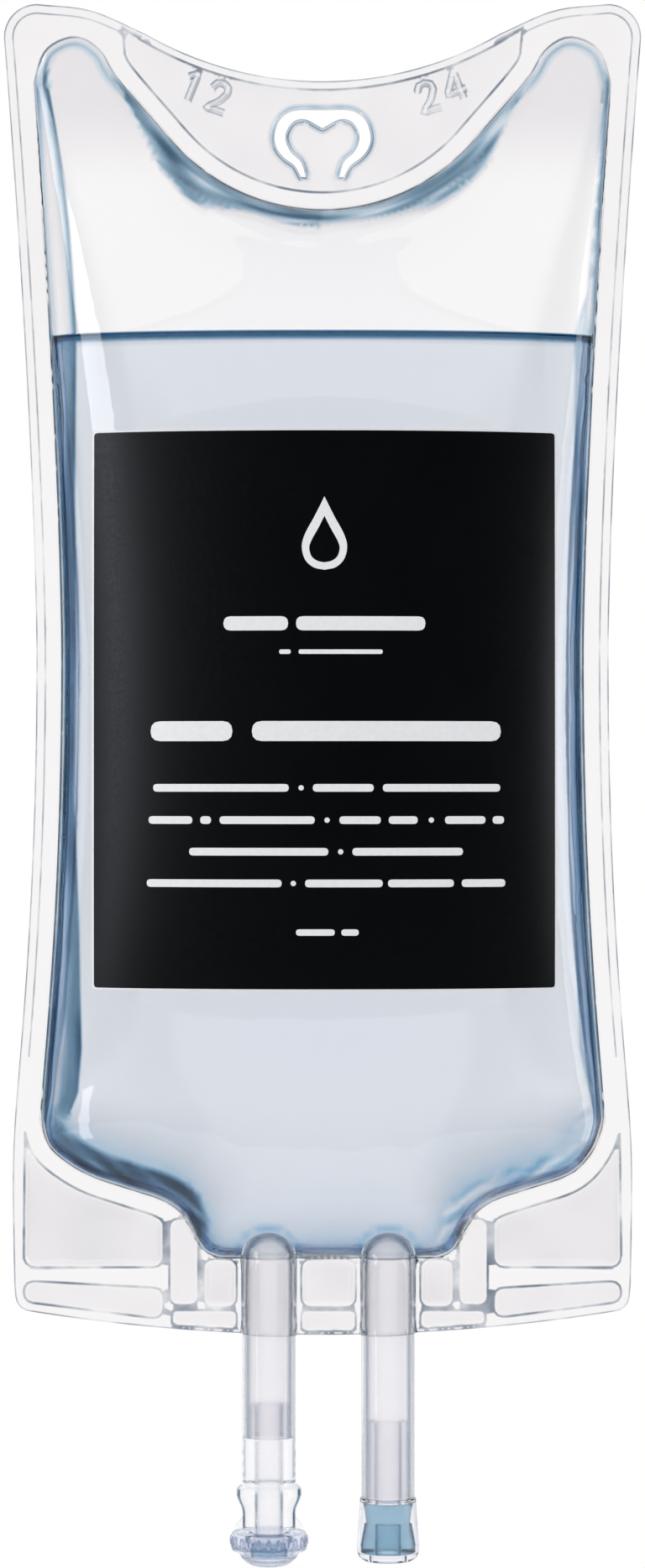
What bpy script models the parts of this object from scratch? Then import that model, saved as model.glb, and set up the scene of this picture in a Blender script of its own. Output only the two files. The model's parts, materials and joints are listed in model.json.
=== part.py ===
"""A clear 250 ml IV fluid bag, hanging from its die-cut slot, with two port tubes at its foot.

Metres, +Z up, the front faces -Y. The origin is the bearing edge of the hanging slot, midway
between the two films. Every flat piece is laid out once, as a triangulated sheet in the XZ
plane. The films, the label and the fluid all take their faces from that one layout.
"""

import math

import bmesh
import bpy
import numpy as np
from mathutils import Vector
from mathutils.geometry import delaunay_2d_cdt

MM = 0.001

# Film outline, front view
SHOULDER_HALF = 50.3 * MM
SHOULDER_TOP_Z = 16.7 * MM
SHOULDER_CORNER_R = 5.2 * MM
WAIST_HALF = 45.15 * MM
WAIST_Z = -86.0 * MM
HIP_HALF = 49.1 * MM
HIP_Z = -163.0 * MM
FOOT_HALF = 48.5 * MM
FOOT_CORNER_R = 2.5 * MM
FOOT_Z = -193.5 * MM
FOOT_ARC_R = 290.0 * MM
HANGER_ARC_Z = 4.5 * MM
HANGER_ARC_R = 56.0 * MM
HANGER_ARC_HALF = 28.0 * MM
SHOULDER_CURVE = 1.5
HIP_CURVE = 2.1
HIP_ROUNDING = 0.5 * MM

# Film, seals and panels
FILM_T = 0.3 * MM
SIDE_SEAL = 4.3 * MM
SEAL_BAND = 3.0 * MM
EDGE_LAND = 1.4 * MM
PANEL_RISE = 0.35 * MM
PANEL_BEVEL = 0.7 * MM
PANEL_CORNER_R = 1.6 * MM
PANEL_OVERHANG = 3.5 * MM
STRIP_GAP = 1.6 * MM
STRIP_SLOPE = 1.2 * MM
PORT_PANEL_GAP = 0.4 * MM
PIPE_CLEARANCE = 0.3 * MM
RIB = 2.2 * MM

# Chamber
CHAMBER_TOP_Z = -16.0 * MM
CHAMBER_TOP_R = 31.5 * MM
CHAMBER_TOP_HALF = 24.0 * MM
CHAMBER_BOTTOM_Z = -181.2 * MM
LOBE_X = 39.0 * MM
LOBE_TOP_Z = 11.5 * MM
LOBE_DROP = 7.0 * MM
BELLY_HALF_DEPTH = 15.3 * MM
HYDROSTATIC_LOAD = 0.7
LEG_INNER = 20.1 * MM
LEG_WIDTH = 4.6 * MM
# In millimetres: over a lobe from its top; the base from a leg's foot; under the hip from the side
LOBE_CURVE = ((4.6, -2.0), (0, 0), (-3.9, -2.2), (-6.6, -6.6))
BASE_CURVE = ((-3.0, 0), (-0.6, 1.0), (0.9, 3.4), (2.8, 6.8), (6.0, 9.1), (11.4, 10.9), (18.2, 13.3))
HIP_TURN = ((1.7, 17.2), (0, 21.5))

# Hanging slot: a cut around a heart-shaped flap, from the slot's middle outwards
SLOT_EDGE = ((0, 0), (3.9, 0), (5.7, -0.6), (6.95, -1.9), (7.6, -4.2), (7.2, -6.2), (6.0, -7.7),
             (4.4, -8.9), (3.4, -10.7))
FLAP_EDGE = ((2.6, -10.7), (3.4, -8.2), (5.1, -6.5), (5.85, -4.2), (4.7, -2.05), (2.7, -1.6), (0, -3.0))

# Fluid
FLUID_Z = -35.9 * MM
FLUID_GAP = 0.3 * MM
FLUID_INSET = 0.8 * MM

# Label
LABEL_WIDTH = 72.2 * MM
LABEL_HEIGHT = 87.3 * MM
LABEL_TOP_Z = -51.3 * MM
LABEL_X = 0.3 * MM
LABEL_T = 0.2 * MM
LABEL_GAP = 0.2 * MM

# Port tubes
PORT_CENTRE_X = 0.95 * MM
PORT_SPACING = 18.8 * MM
TUBE_R = 4.2 * MM
TUBE_WALL = 1.0 * MM
TUBE_FIT = 0.3 * MM
SPIKE_TUBE_END_Z = -209.6 * MM
INJECTION_TUBE_END_Z = -219.2 * MM

# Spike connector, its septum and its cap
SPIGOT_LENGTH = 5.6 * MM
SPIGOT_FIT = 0.3 * MM
CONNECTOR_BORE_R = 1.85 * MM
FLANGE_R = 5.2 * MM
FLANGE_TOP_Z = -217.4 * MM
FLANGE_HEIGHT = 2.1 * MM
FLANGE_TAPER = 1.6 * MM
NECK_END_Z = -224.2 * MM
MOUTH_R = 3.2 * MM
MOUTH_END_Z = -228.1 * MM
FIN_REACH = 5.3 * MM
FIN_T = 0.8 * MM
FIN_HEIGHT = 2.5 * MM
SEPTUM_R = 2.25 * MM
SEPTUM_T = 1.7 * MM
SEPTUM_FIT = 0.1 * MM
CAP_R = 6.15 * MM
CAP_TOP_Z = -224.5 * MM
CAP_RIM_HEIGHT = 2.9 * MM
CAP_BOTTOM_Z = -230.1 * MM
CAP_DOME_R = 4.7 * MM
CAP_TIP_R = 2.2 * MM
CAP_FIT = 0.35 * MM
CAP_END_GAP = 0.3 * MM
CAP_RIBS = 24
RIB_DEPTH = 0.22 * MM
RIM_ROUNDING = 0.5 * MM

# Injection collar and its stopper
INSERT_LENGTH = 12.3 * MM
COLLAR_TOP_R = 4.45 * MM
COLLAR_FLARE_R = 4.97 * MM
COLLAR_END_Z = -229.2 * MM
COLLAR_LIP = 1.3 * MM
COLLAR_MOUTH_R = 2.7 * MM
COLLAR_ROOF = 0.7 * MM
STOPPER_TOP_R = 3.8 * MM
STOPPER_WAIST_R = 3.5 * MM
STOPPER_FOOT_R = 4.25 * MM
STOPPER_FIT = 0.15 * MM
RECESS_R = 1.7 * MM
RECESS_DEPTH = 4.6 * MM
DISH_DEPTH = 0.5 * MM

# Facets
ROUND_STEPS = 28
PIPE_STEPS = 8
EDGE_STEP = 8.4 * MM
FINE_STEP = 2.4 * MM
SLOT_STEP = 1.4 * MM
FLANK_INSET = 2.8 * MM
GRID_STEP = 10.0 * MM
DOME_STEPS = 4
CREASE = math.radians(30)
CLEAR_OF_EDGE = 2.3 * MM
WELD = 1e-7


def clear_scene():
    for obj in list(bpy.data.objects):
        bpy.data.objects.remove(obj, do_unlink=True)


def material(name, colour, roughness, metallic=0.0):
    made = bpy.data.materials.new(name)
    made.use_nodes = True
    shader = made.node_tree.nodes["Principled BSDF"]
    shader.inputs["Base Color"].default_value = (*colour, 1.0)
    shader.inputs["Roughness"].default_value = roughness
    shader.inputs["Metallic"].default_value = metallic
    made.diffuse_color = (*colour, 1.0)
    return made


def new_object(name, mesh, finish=None):
    obj = bpy.data.objects.new(name, mesh)
    bpy.context.scene.collection.objects.link(obj)
    if finish:
        mesh.materials.append(finish)
    return obj


def hide_cutter(obj):
    obj.hide_render = True
    obj.display_type = "WIRE"
    return obj


def boolean(obj, other, operation):
    modifier = obj.modifiers.new(operation.title(), "BOOLEAN")
    modifier.operation = operation
    modifier.solver = "EXACT"
    modifier.object = hide_cutter(other)


# Curves in the plane of the films

def curve_through(points, step):
    """A smooth open curve through the points, with a point about every step."""
    knots = [Vector(point) for point in points]
    padded = [2 * knots[0] - knots[1], *knots, 2 * knots[-1] - knots[-2]]
    path = [knots[0]]
    for a, b, c, d in zip(padded, padded[1:], padded[2:], padded[3:]):
        count = max(1, round((c - b).length / step))
        for i in range(1, count + 1):
            t = i / count
            square = (2 * a - 5 * b + 4 * c - d) * t * t
            cube = (3 * b - a - 3 * c + d) * t * t * t
            path.append((2 * b + (c - a) * t + square + cube) / 2)
    return path


def straight(start, end, step):
    start, end = Vector(start), Vector(end)
    count = max(1, round((end - start).length / step))
    return [start.lerp(end, i / count) for i in range(count + 1)]


def corner_arc(centre, radius, start_deg, end_deg, count):
    angles = np.radians(np.linspace(start_deg, end_deg, count + 1))
    return [Vector(centre) + radius * Vector((math.cos(a), math.sin(a))) for a in angles]


def joined(*stretches):
    """The stretches end to end, without the points that repeat."""
    path = []
    for stretch in stretches:
        path += [p for p in stretch if not path or (p - path[-1]).length > WELD]
    if (path[0] - path[-1]).length <= WELD:
        path.pop()
    return path


def mirrored(path):
    return [Vector((-p.x, p.y)) for p in reversed(path)]


def offset(path, distance, closed=True):
    """The path moved sideways, to its right as it runs, by the distance."""
    moved = []
    for i, point in enumerate(path):
        before = path[i - 1] if closed or i else path[i]
        after = path[(i + 1) % len(path)] if closed or i < len(path) - 1 else path[i]
        arriving = (point - before).normalized() if point != before else (after - point).normalized()
        leaving = (after - point).normalized() if after != point else arriving
        along = (arriving + leaving).normalized()
        stretch = 1 / max(0.5, along.dot(leaving))
        moved.append(point + Vector((along.y, -along.x)) * distance * stretch)
    return moved


def rounded_box(corners, radius, step):
    """A closed outline through convex corners, each with a round of the radius."""
    path = []
    for i, corner in enumerate(corners):
        corner = Vector(corner)
        back = (Vector(corners[i - 1]) - corner).normalized()
        ahead = (Vector(corners[(i + 1) % len(corners)]) - corner).normalized()
        reach = radius / math.tan(back.angle(ahead) / 2)
        middle = (corner + back * reach + corner + ahead * reach) / 2
        arc = [corner + back * reach, middle.lerp(corner, 0.45), corner + ahead * reach]
        if path:
            path += straight(path[-1], arc[0], step)[1:-1]
        path += arc
    return path


def inside(path, points):
    """Which of the points lie inside the closed path."""
    x, z = points[:, 0], points[:, 1]
    crossed = np.zeros(len(points), bool)
    for (ax, az), (bx, bz) in zip(path, path[1:] + path[:1]):
        if az == bz:
            continue
        spans = (az > z) != (bz > z)
        crossed ^= spans & (x < ax + (z - az) * (bx - ax) / (bz - az))
    return crossed


def distance_to(path, points, closed=True):
    """How far each point is from the path."""
    nearest = np.full(len(points), np.inf)
    for a, b in zip(path, path[1:] + (path[:1] if closed else [])):
        along = np.array(b - a)
        share = np.clip((points - np.array(a)) @ along / max(along @ along, WELD**2), 0, 1)
        gap = np.linalg.norm(points - np.array(a) - share[:, None] * along, axis=1)
        nearest = np.minimum(nearest, gap)
    return nearest


# Outlines of the film, the chamber and the panels

def side_half_width(z):
    """Half the film's width at a height: wide shoulders, a waist drawn in by the filling, hips."""
    shoulder_z = SHOULDER_TOP_Z - SHOULDER_CORNER_R
    if z > WAIST_Z:
        rise = min(1.0, (z - WAIST_Z) / (shoulder_z - WAIST_Z))
        return WAIST_HALF + (SHOULDER_HALF - WAIST_HALF) * rise**SHOULDER_CURVE
    drop = (WAIST_Z - z) / (WAIST_Z - HIP_Z)
    flare = WAIST_HALF + (HIP_HALF - WAIST_HALF) * drop**HIP_CURVE
    straight_side = HIP_HALF + (FOOT_HALF - HIP_HALF) * (HIP_Z - z) / (HIP_Z - FOOT_Z)
    nearer = math.exp(-flare / HIP_ROUNDING) + math.exp(-straight_side / HIP_ROUNDING)
    return -HIP_ROUNDING * math.log(nearer)


def foot_z(x):
    return FOOT_Z + FOOT_ARC_R - math.sqrt(FOOT_ARC_R**2 - x * x)


def hanger_z(x):
    return HANGER_ARC_Z + HANGER_ARC_R - math.sqrt(HANGER_ARC_R**2 - x * x)


def side_path(inset, low_z, high_z):
    heights = np.linspace(low_z, high_z, max(2, round((high_z - low_z) / EDGE_STEP)))
    return [Vector((side_half_width(z) - inset, z)) for z in heights]


def film_outline():
    corner_x = FOOT_HALF - FOOT_CORNER_R
    corner_z = foot_z(corner_x) + FOOT_CORNER_R
    shoulder_x = SHOULDER_HALF - SHOULDER_CORNER_R
    shoulder_z = SHOULDER_TOP_Z - SHOULDER_CORNER_R
    foot = [Vector((x, foot_z(x))) for x in np.linspace(0, corner_x, 9)]
    foot_corner = corner_arc((corner_x, corner_z), FOOT_CORNER_R, -90, 0, 3)
    side = side_path(0, corner_z + EDGE_STEP, shoulder_z - EDGE_STEP)
    shoulder = corner_arc((shoulder_x, shoulder_z), SHOULDER_CORNER_R, 0, 90, 5)
    arc_end = Vector((HANGER_ARC_HALF, hanger_z(HANGER_ARC_HALF)))
    slope_x = (shoulder_x + HANGER_ARC_HALF) / 2
    slope_z = SHOULDER_TOP_Z - 0.22 * (SHOULDER_TOP_Z - arc_end.y)
    slope = curve_through([shoulder[-1], (slope_x, slope_z), arc_end], FINE_STEP)
    arc = [Vector((x, hanger_z(x))) for x in np.linspace(HANGER_ARC_HALF, 0, 9)]
    half = joined(foot, foot_corner, side, shoulder, slope, arc)
    return joined(half, mirrored(half))


def base_curve(side):
    """The S from the inner side of a leg of the seal to under the hip, on one side (-1 or 1)."""
    leg_x = PORT_CENTRE_X + side * LEG_INNER
    points = [(leg_x + side * dx * MM, CHAMBER_BOTTOM_Z + dz * MM) for dx, dz in BASE_CURVE]
    for inward, rise in HIP_TURN:
        z = CHAMBER_BOTTOM_Z + rise * MM
        points.append((side * (side_half_width(z) - SIDE_SEAL - inward * MM), z))
    return curve_through(points, FINE_STEP)


def chamber_top_curve():
    """From the side of the right lobe over it and down to the middle of the concave top."""
    arc = [Vector((x, CHAMBER_TOP_Z + CHAMBER_TOP_R - math.sqrt(CHAMBER_TOP_R**2 - x * x)))
           for x in np.linspace(CHAMBER_TOP_HALF, 0, 8)]
    side_z = LOBE_TOP_Z - LOBE_DROP
    lobe = [(LOBE_X + dx * MM, LOBE_TOP_Z + dz * MM) for dx, dz in LOBE_CURVE]
    points = [(side_half_width(side_z) - SIDE_SEAL, side_z), *lobe, tuple(arc[0])]
    return joined(curve_through(points, FINE_STEP), arc)


def chamber_outline():
    """Anticlockwise from the middle of the bottom seal."""
    start = (PORT_CENTRE_X, CHAMBER_BOTTOM_Z)
    halves = []
    for side in (1, -1):
        base = base_curve(side)
        low_z = base[-1].y + EDGE_STEP
        side_edge = side_path(SIDE_SEAL, low_z, LOBE_TOP_Z - LOBE_DROP - EDGE_STEP)
        top = chamber_top_curve()
        half = joined(side_edge, top)
        if side < 0:
            half = [Vector((-p.x, p.y)) for p in half]
        halves.append(joined(straight(start, base[0], FINE_STEP), base, half))
    return joined(halves[0], list(reversed(halves[1])))


def slot_outline():
    edge = curve_through([(x * MM, z * MM) for x, z in SLOT_EDGE], SLOT_STEP)
    flap = curve_through([(x * MM, z * MM) for x, z in FLAP_EDGE], SLOT_STEP)
    half = joined(edge, flap)
    return joined(half, mirrored(half))


def hanger_panel():
    half_width = HANGER_ARC_HALF + PANEL_OVERHANG
    top = [Vector((x, hanger_z(x) - EDGE_LAND)) for x in np.linspace(half_width, -half_width, 17)]
    lower = offset(chamber_top_curve(), SEAL_BAND, closed=False)
    fits = [p for p in lower if p.x < half_width and p.y < hanger_z(p.x) - 2 * EDGE_LAND]
    right_first = joined(fits, mirrored(fits))
    return joined(top, list(reversed(right_first)))


def corner_panels(side):
    """The puffed panel under a hip and the strip below it, both at one lower corner of the film."""
    edge_x = side * (side_half_width(FOOT_Z) - EDGE_LAND)
    leg_x = PORT_CENTRE_X + side * (LEG_INNER + LEG_WIDTH + EDGE_LAND)
    strip_top_z = CHAMBER_BOTTOM_Z - RIB - STRIP_GAP
    upper_low_z = CHAMBER_BOTTOM_Z - STRIP_GAP
    curve = offset(base_curve(side), side * SEAL_BAND, closed=False)
    curve = [p for p in curve if abs(leg_x) + 0.2 * MM < abs(p.x) < abs(edge_x)]
    low_corner = Vector((leg_x, upper_low_z + PANEL_CORNER_R))
    low_leg = Vector((leg_x + side * PANEL_CORNER_R, upper_low_z))
    far_low = Vector((edge_x - side * PANEL_CORNER_R, upper_low_z))
    far_side = Vector((edge_x, upper_low_z + PANEL_CORNER_R))
    leg_top = Vector((leg_x, curve[0].y - PANEL_BEVEL))
    upper = joined(curve, straight(far_side, far_low, EDGE_STEP),
                   straight(far_low, low_leg, EDGE_STEP)[1:], [low_corner, leg_top])
    strip_low = foot_z(edge_x) + EDGE_LAND
    strip = rounded_box([(leg_x, strip_top_z - STRIP_SLOPE), (edge_x, strip_top_z),
                         (edge_x, strip_low), (leg_x, foot_z(leg_x) + EDGE_LAND)],
                        PANEL_CORNER_R, EDGE_STEP)
    return [upper, strip]


def tube_xs():
    return PORT_CENTRE_X - PORT_SPACING / 2, PORT_CENTRE_X + PORT_SPACING / 2


def port_panels():
    """The three small panels beside and between the port tubes."""
    left, right = tube_xs()
    clear = TUBE_R + TUBE_FIT + FILM_T + PIPE_CLEARANCE
    top = CHAMBER_BOTTOM_Z - PORT_PANEL_GAP
    low = FOOT_Z + 2 * RIB
    leg = LEG_INNER - PORT_PANEL_GAP
    spans = ((PORT_CENTRE_X - leg, left - clear), (left + clear, right - clear),
             (right + clear, PORT_CENTRE_X + leg))
    return [rounded_box([(a, top), (b, top), (b, low), (a, low)], PANEL_CORNER_R, EDGE_STEP)
            for a, b in spans]


def anticlockwise(path):
    area = sum(a.x * b.y - b.x * a.y for a, b in zip(path, path[1:] + path[:1]))
    return path if area > 0 else list(reversed(path))


def label_outline():
    left = LABEL_X - LABEL_WIDTH / 2
    right = LABEL_X + LABEL_WIDTH / 2
    low = LABEL_TOP_Z - LABEL_HEIGHT
    corners = [(left, low), (right, low), (right, LABEL_TOP_Z), (left, LABEL_TOP_Z)]
    return joined(*[straight(a, b, GRID_STEP) for a, b in zip(corners, corners[1:] + corners[:1])])


# The sheet that the films, the fluid and the label share

class Sheet:
    """The triangulated layout of one film in the XZ plane, with its height at each vertex."""

    def __init__(self):
        self.outline = film_outline()
        self.chamber = anticlockwise(chamber_outline())
        self.slot = slot_outline()
        self.label = label_outline()
        self.fluid = offset(self.chamber, -FLUID_INSET)
        self.panels = [anticlockwise(p) for p in
                       [hanger_panel(), *corner_panels(1), *corner_panels(-1), *port_panels()]]
        self.tops = [offset(panel, -PANEL_BEVEL) for panel in self.panels]
        self.points, self.faces = self.triangulate()
        self.pillow = self.inflate()
        self.height = np.maximum.reduce([self.pillow, self.pipe_height(), self.panel_height()])

    def triangulate(self):
        coords, edges = [], []

        def add(path, closed=True):
            start = len(coords)
            coords.extend(path)
            edges.extend((start + i, start + i + 1) for i in range(len(path) - 1))
            if closed:
                edges.append((len(coords) - 1, start))

        for loop in (self.outline, self.slot, self.chamber, self.fluid, self.label):
            add(loop)
        for loop in self.panels + self.tops:
            add(loop)
        for line in self.pipe_lines():
            add(line, closed=False)
        add(self.fluid_line(), closed=False)
        coords.extend(self.free_points())
        made = delaunay_2d_cdt(coords, edges, [], 0, WELD)
        points = np.array([tuple(p) for p in made[0]])
        faces = np.array(made[2])
        middles = points[faces].mean(axis=1)
        keep = inside(self.outline, middles) & ~inside(self.slot, middles)
        used, index = np.unique(faces[keep], return_inverse=True)
        return points[used], index.reshape(-1, 3)

    def pipe_lines(self):
        """Lines along the film's half pipe over each tube, from its dome to below the film."""
        radius = TUBE_R + TUBE_FIT
        angles = np.radians(np.linspace(-90, 90, PIPE_STEPS + 1))
        end_z = FOOT_Z - RIB
        return [[Vector((x + radius * math.sin(a), CHAMBER_BOTTOM_Z)),
                 Vector((x + radius * math.sin(a), end_z))] for x in tube_xs() for a in angles]

    def fluid_line(self):
        """The fluid's surface across the chamber, with closer points on its steep flanks."""
        reach = side_half_width(FLUID_Z) - SIDE_SEAL
        knots = [reach - FLUID_INSET, reach - FLANK_INSET, reach - 2.2 * FLANK_INSET]
        right = [Vector((x, FLUID_Z)) for x in knots]
        middle = straight((-knots[-1], FLUID_Z), (knots[-1], FLUID_Z), GRID_STEP)
        left = [Vector((-p.x, p.y)) for p in right]
        return joined(left, middle, right[::-1])

    def free_points(self):
        """Points inside the chamber that no line holds: its flanks, a loose grid, the tube domes."""
        flank = [tuple(p) for p in offset(self.chamber, -FLANK_INSET)]
        rows = np.arange(CHAMBER_BOTTOM_Z, LOBE_TOP_Z, GRID_STEP * math.sqrt(3) / 2)
        grid = [(x + (i % 2) * GRID_STEP / 2, z) for i, z in enumerate(rows)
                for x in np.arange(-SHOULDER_HALF, SHOULDER_HALF, GRID_STEP)]
        domes = self.dome_points()
        flank = self.spaced(np.array(flank), CLEAR_OF_EDGE * 0.6)
        grid = self.spaced(np.array(grid), 2 * CLEAR_OF_EDGE)
        flank = flank[~self.in_dome(flank)]
        grid = grid[~self.in_dome(grid)]
        return [Vector(p) for p in np.vstack([flank, grid, domes])]

    def spaced(self, points, from_chamber):
        """The points inside the chamber that keep clear of its edge and of the other lines."""
        points = points[inside(self.chamber, points)]
        clear = distance_to(self.chamber, points) > from_chamber
        clear &= distance_to(self.label, points) > CLEAR_OF_EDGE
        clear &= abs(points[:, 1] - FLUID_Z) > CLEAR_OF_EDGE
        return points[clear]

    def dome_points(self):
        radius = TUBE_R + TUBE_FIT
        rings = [radius * math.sin(math.radians(a)) for a in np.linspace(0, 90, PIPE_STEPS // 2 + 1)]
        points = [(x + r * math.cos(a), CHAMBER_BOTTOM_Z + r * math.sin(a))
                  for x in tube_xs() for r in rings[1:]
                  for a in np.radians(np.linspace(0, 180, PIPE_STEPS + 1)[1:-1])]
        points = np.array(points)
        away = abs(points[:, 1] - CHAMBER_BOTTOM_Z - FLUID_INSET) > 0.3 * MM
        return points[away & (points[:, 1] > CHAMBER_BOTTOM_Z + 0.4 * MM)]

    def in_dome(self, points):
        """Which of the points lie over a tube's dome, or too close beside it."""
        found = np.zeros(len(points), bool)
        for x in tube_xs():
            reach = np.linalg.norm(points - np.array((x, CHAMBER_BOTTOM_Z)), axis=1)
            found |= reach < 1.25 * (TUBE_R + TUBE_FIT)
        return found

    def inflate(self):
        """Each vertex's height on the chamber, as a membrane held at its edge under the fluid's load.

        The square root of a membrane's sag has the round flanks of a filled cushion.
        """
        middles = self.points[self.faces].mean(axis=1)
        faces = self.faces[inside(self.chamber, middles)]
        free = inside(self.chamber, self.points)
        free &= distance_to(self.chamber, self.points) > 10 * WELD
        count = len(self.points)
        stiffness = np.zeros((count, count))
        load = np.zeros(count)
        span = LOBE_TOP_Z - CHAMBER_BOTTOM_Z
        for face in faces:
            corners = self.points[face]
            opposite = np.roll(corners, -1, axis=0) - np.roll(corners, 1, axis=0)
            area = abs(np.cross(corners[1] - corners[0], corners[2] - corners[0])) / 2
            stiffness[np.ix_(face, face)] += opposite @ opposite.T / (4 * area)
            depth = (LOBE_TOP_Z - corners[:, 1].mean()) / span
            load[face] += area / 3 * (1 + HYDROSTATIC_LOAD * depth)
        sag = np.zeros(count)
        sag[free] = np.linalg.solve(stiffness[np.ix_(free, free)], load[free])
        return BELLY_HALF_DEPTH * np.sqrt(np.maximum(sag, 0) / sag.max())

    def pipe_height(self):
        """The half pipes over the tubes, each with a quarter sphere at its upper end."""
        radius = TUBE_R + TUBE_FIT
        height = np.zeros(len(self.points))
        above = np.maximum(self.points[:, 1] - CHAMBER_BOTTOM_Z, 0)
        for x in tube_xs():
            square = radius**2 - (self.points[:, 0] - x) ** 2 - above**2
            height = np.maximum(height, np.sqrt(np.maximum(square, 0)))
        height[height < WELD**0.5 * 0.1] = 0
        return height

    def panel_height(self):
        height = np.zeros(len(self.points))
        for top in self.tops:
            raised = inside(top, self.points) | (distance_to(top, self.points) < 10 * WELD)
            height[raised] = PANEL_RISE
        return height

    def faces_within(self, *loops, below=None):
        middles = self.points[self.faces].mean(axis=1)
        keep = np.ones(len(self.faces), bool)
        for loop in loops:
            keep &= inside(loop, middles)
        if below is not None:
            keep &= middles[:, 1] < below
        return self.faces[keep]


def sheet_mesh(name, points, height, faces, side):
    """A mesh of one side of the sheet (-1 front, 1 back), its normals pointing away from the other."""
    used, index = np.unique(faces, return_inverse=True)
    mesh = bpy.data.meshes.new(name)
    verts = [(x, side * h, z) for (x, z), h in zip(points[used], height[used])]
    mesh.from_pydata(verts, [], index.reshape(-1, 3).tolist())
    body = bmesh.new()
    body.from_mesh(mesh)
    wrong = [f for f in body.faces if f.normal.y * side < 0]
    bmesh.ops.reverse_faces(body, faces=wrong)
    body.to_mesh(mesh)
    body.free()
    mesh.shade_smooth()
    mesh.set_sharp_from_angle(angle=CREASE)
    return mesh


def thicken(obj, thickness):
    modifier = obj.modifiers.new("Thickness", "SOLIDIFY")
    modifier.thickness = thickness
    modifier.offset = 1.0
    modifier.use_even_offset = True
    modifier.use_quality_normals = True


def make_film(sheet, name, side, finish):
    mesh = sheet_mesh(name, sheet.points, sheet.height, sheet.faces, side)
    film = new_object(name, mesh, finish)
    thicken(film, FILM_T)
    return film


def make_label(sheet, finish):
    faces = sheet.faces_within(sheet.label)
    label = new_object("label", sheet_mesh("label", sheet.points, sheet.height, faces, -1), finish)
    lift = label.modifiers.new("Lift", "DISPLACE")
    lift.direction = "NORMAL"
    lift.mid_level = 0.0
    lift.strength = FILM_T + LABEL_GAP
    thicken(label, LABEL_T)
    return label


def make_solution(sheet, finish):
    """The fluid: both inner faces of the chamber drawn in by the gap, flat on top, cut by the tubes."""
    faces = sheet.faces_within(sheet.fluid, below=FLUID_Z)
    body = bmesh.new()
    for side in (-1, 1):
        skin = sheet_mesh("skin", sheet.points, sheet.pillow, faces, side)
        body.from_mesh(skin)
        bpy.data.meshes.remove(skin)
    body.normal_update()
    for vert in body.verts:
        height = vert.co.z
        vert.co -= vert.normal * FLUID_GAP
        if abs(height - FLUID_Z) < 10 * WELD:
            vert.co.z = FLUID_Z
    rim = [edge for edge in body.edges if edge.is_boundary]
    bmesh.ops.bridge_loops(body, edges=rim)
    bmesh.ops.recalc_face_normals(body, faces=body.faces)
    mesh = bpy.data.meshes.new("solution")
    body.to_mesh(mesh)
    body.free()
    mesh.shade_smooth()
    mesh.set_sharp_from_angle(angle=CREASE)
    solution = new_object("solution", mesh, finish)
    for x in tube_xs():
        cutter = turned("tube_space", dome_profile(TUBE_R + TUBE_FIT, 4 * TUBE_R), x, CHAMBER_BOTTOM_Z)
        boolean(solution, cutter, "DIFFERENCE")
    return solution


# Turned pieces

def turned(name, profile, x, z, finish=None, closed=False, steps=ROUND_STEPS):
    """A body turned about a vertical axis from (radius, height) points, top to bottom outside."""
    mesh = bpy.data.meshes.new(name)
    edges = [(i, i + 1) for i in range(len(profile) - 1)]
    if closed:
        edges.append((len(profile) - 1, 0))
    mesh.from_pydata([(r, 0, h) for r, h in profile], edges, [])
    obj = new_object(name, mesh, finish)
    obj.location = (x, 0, z)
    screw = obj.modifiers.new("Turn", "SCREW")
    screw.axis = "Z"
    screw.steps = steps
    screw.render_steps = steps
    screw.use_merge_vertices = True
    screw.merge_threshold = 0.00001
    screw.use_smooth_shade = True
    return obj


def dome_profile(radius, length, steps=DOME_STEPS):
    """A solid rod with a round top: down its side from the crown, then in to the axis."""
    angles = np.radians(np.linspace(90, 0, steps + 1))
    crown = [(radius * math.cos(a), radius * math.sin(a)) for a in angles]
    crown[0] = (0, radius)
    return crown + [(radius, -length), (0, -length)]


def make_tube(name, x, end_z, finish):
    """A port tube: a domed, closed top, and a bore open below."""
    length = CHAMBER_BOTTOM_Z - end_z
    bore_r = TUBE_R - TUBE_WALL
    outer = dome_profile(TUBE_R, length)[:-1]
    inner = dome_profile(bore_r, length)[:-1]
    return turned(name, outer + list(reversed(inner)), x, CHAMBER_BOTTOM_Z, finish)


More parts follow.
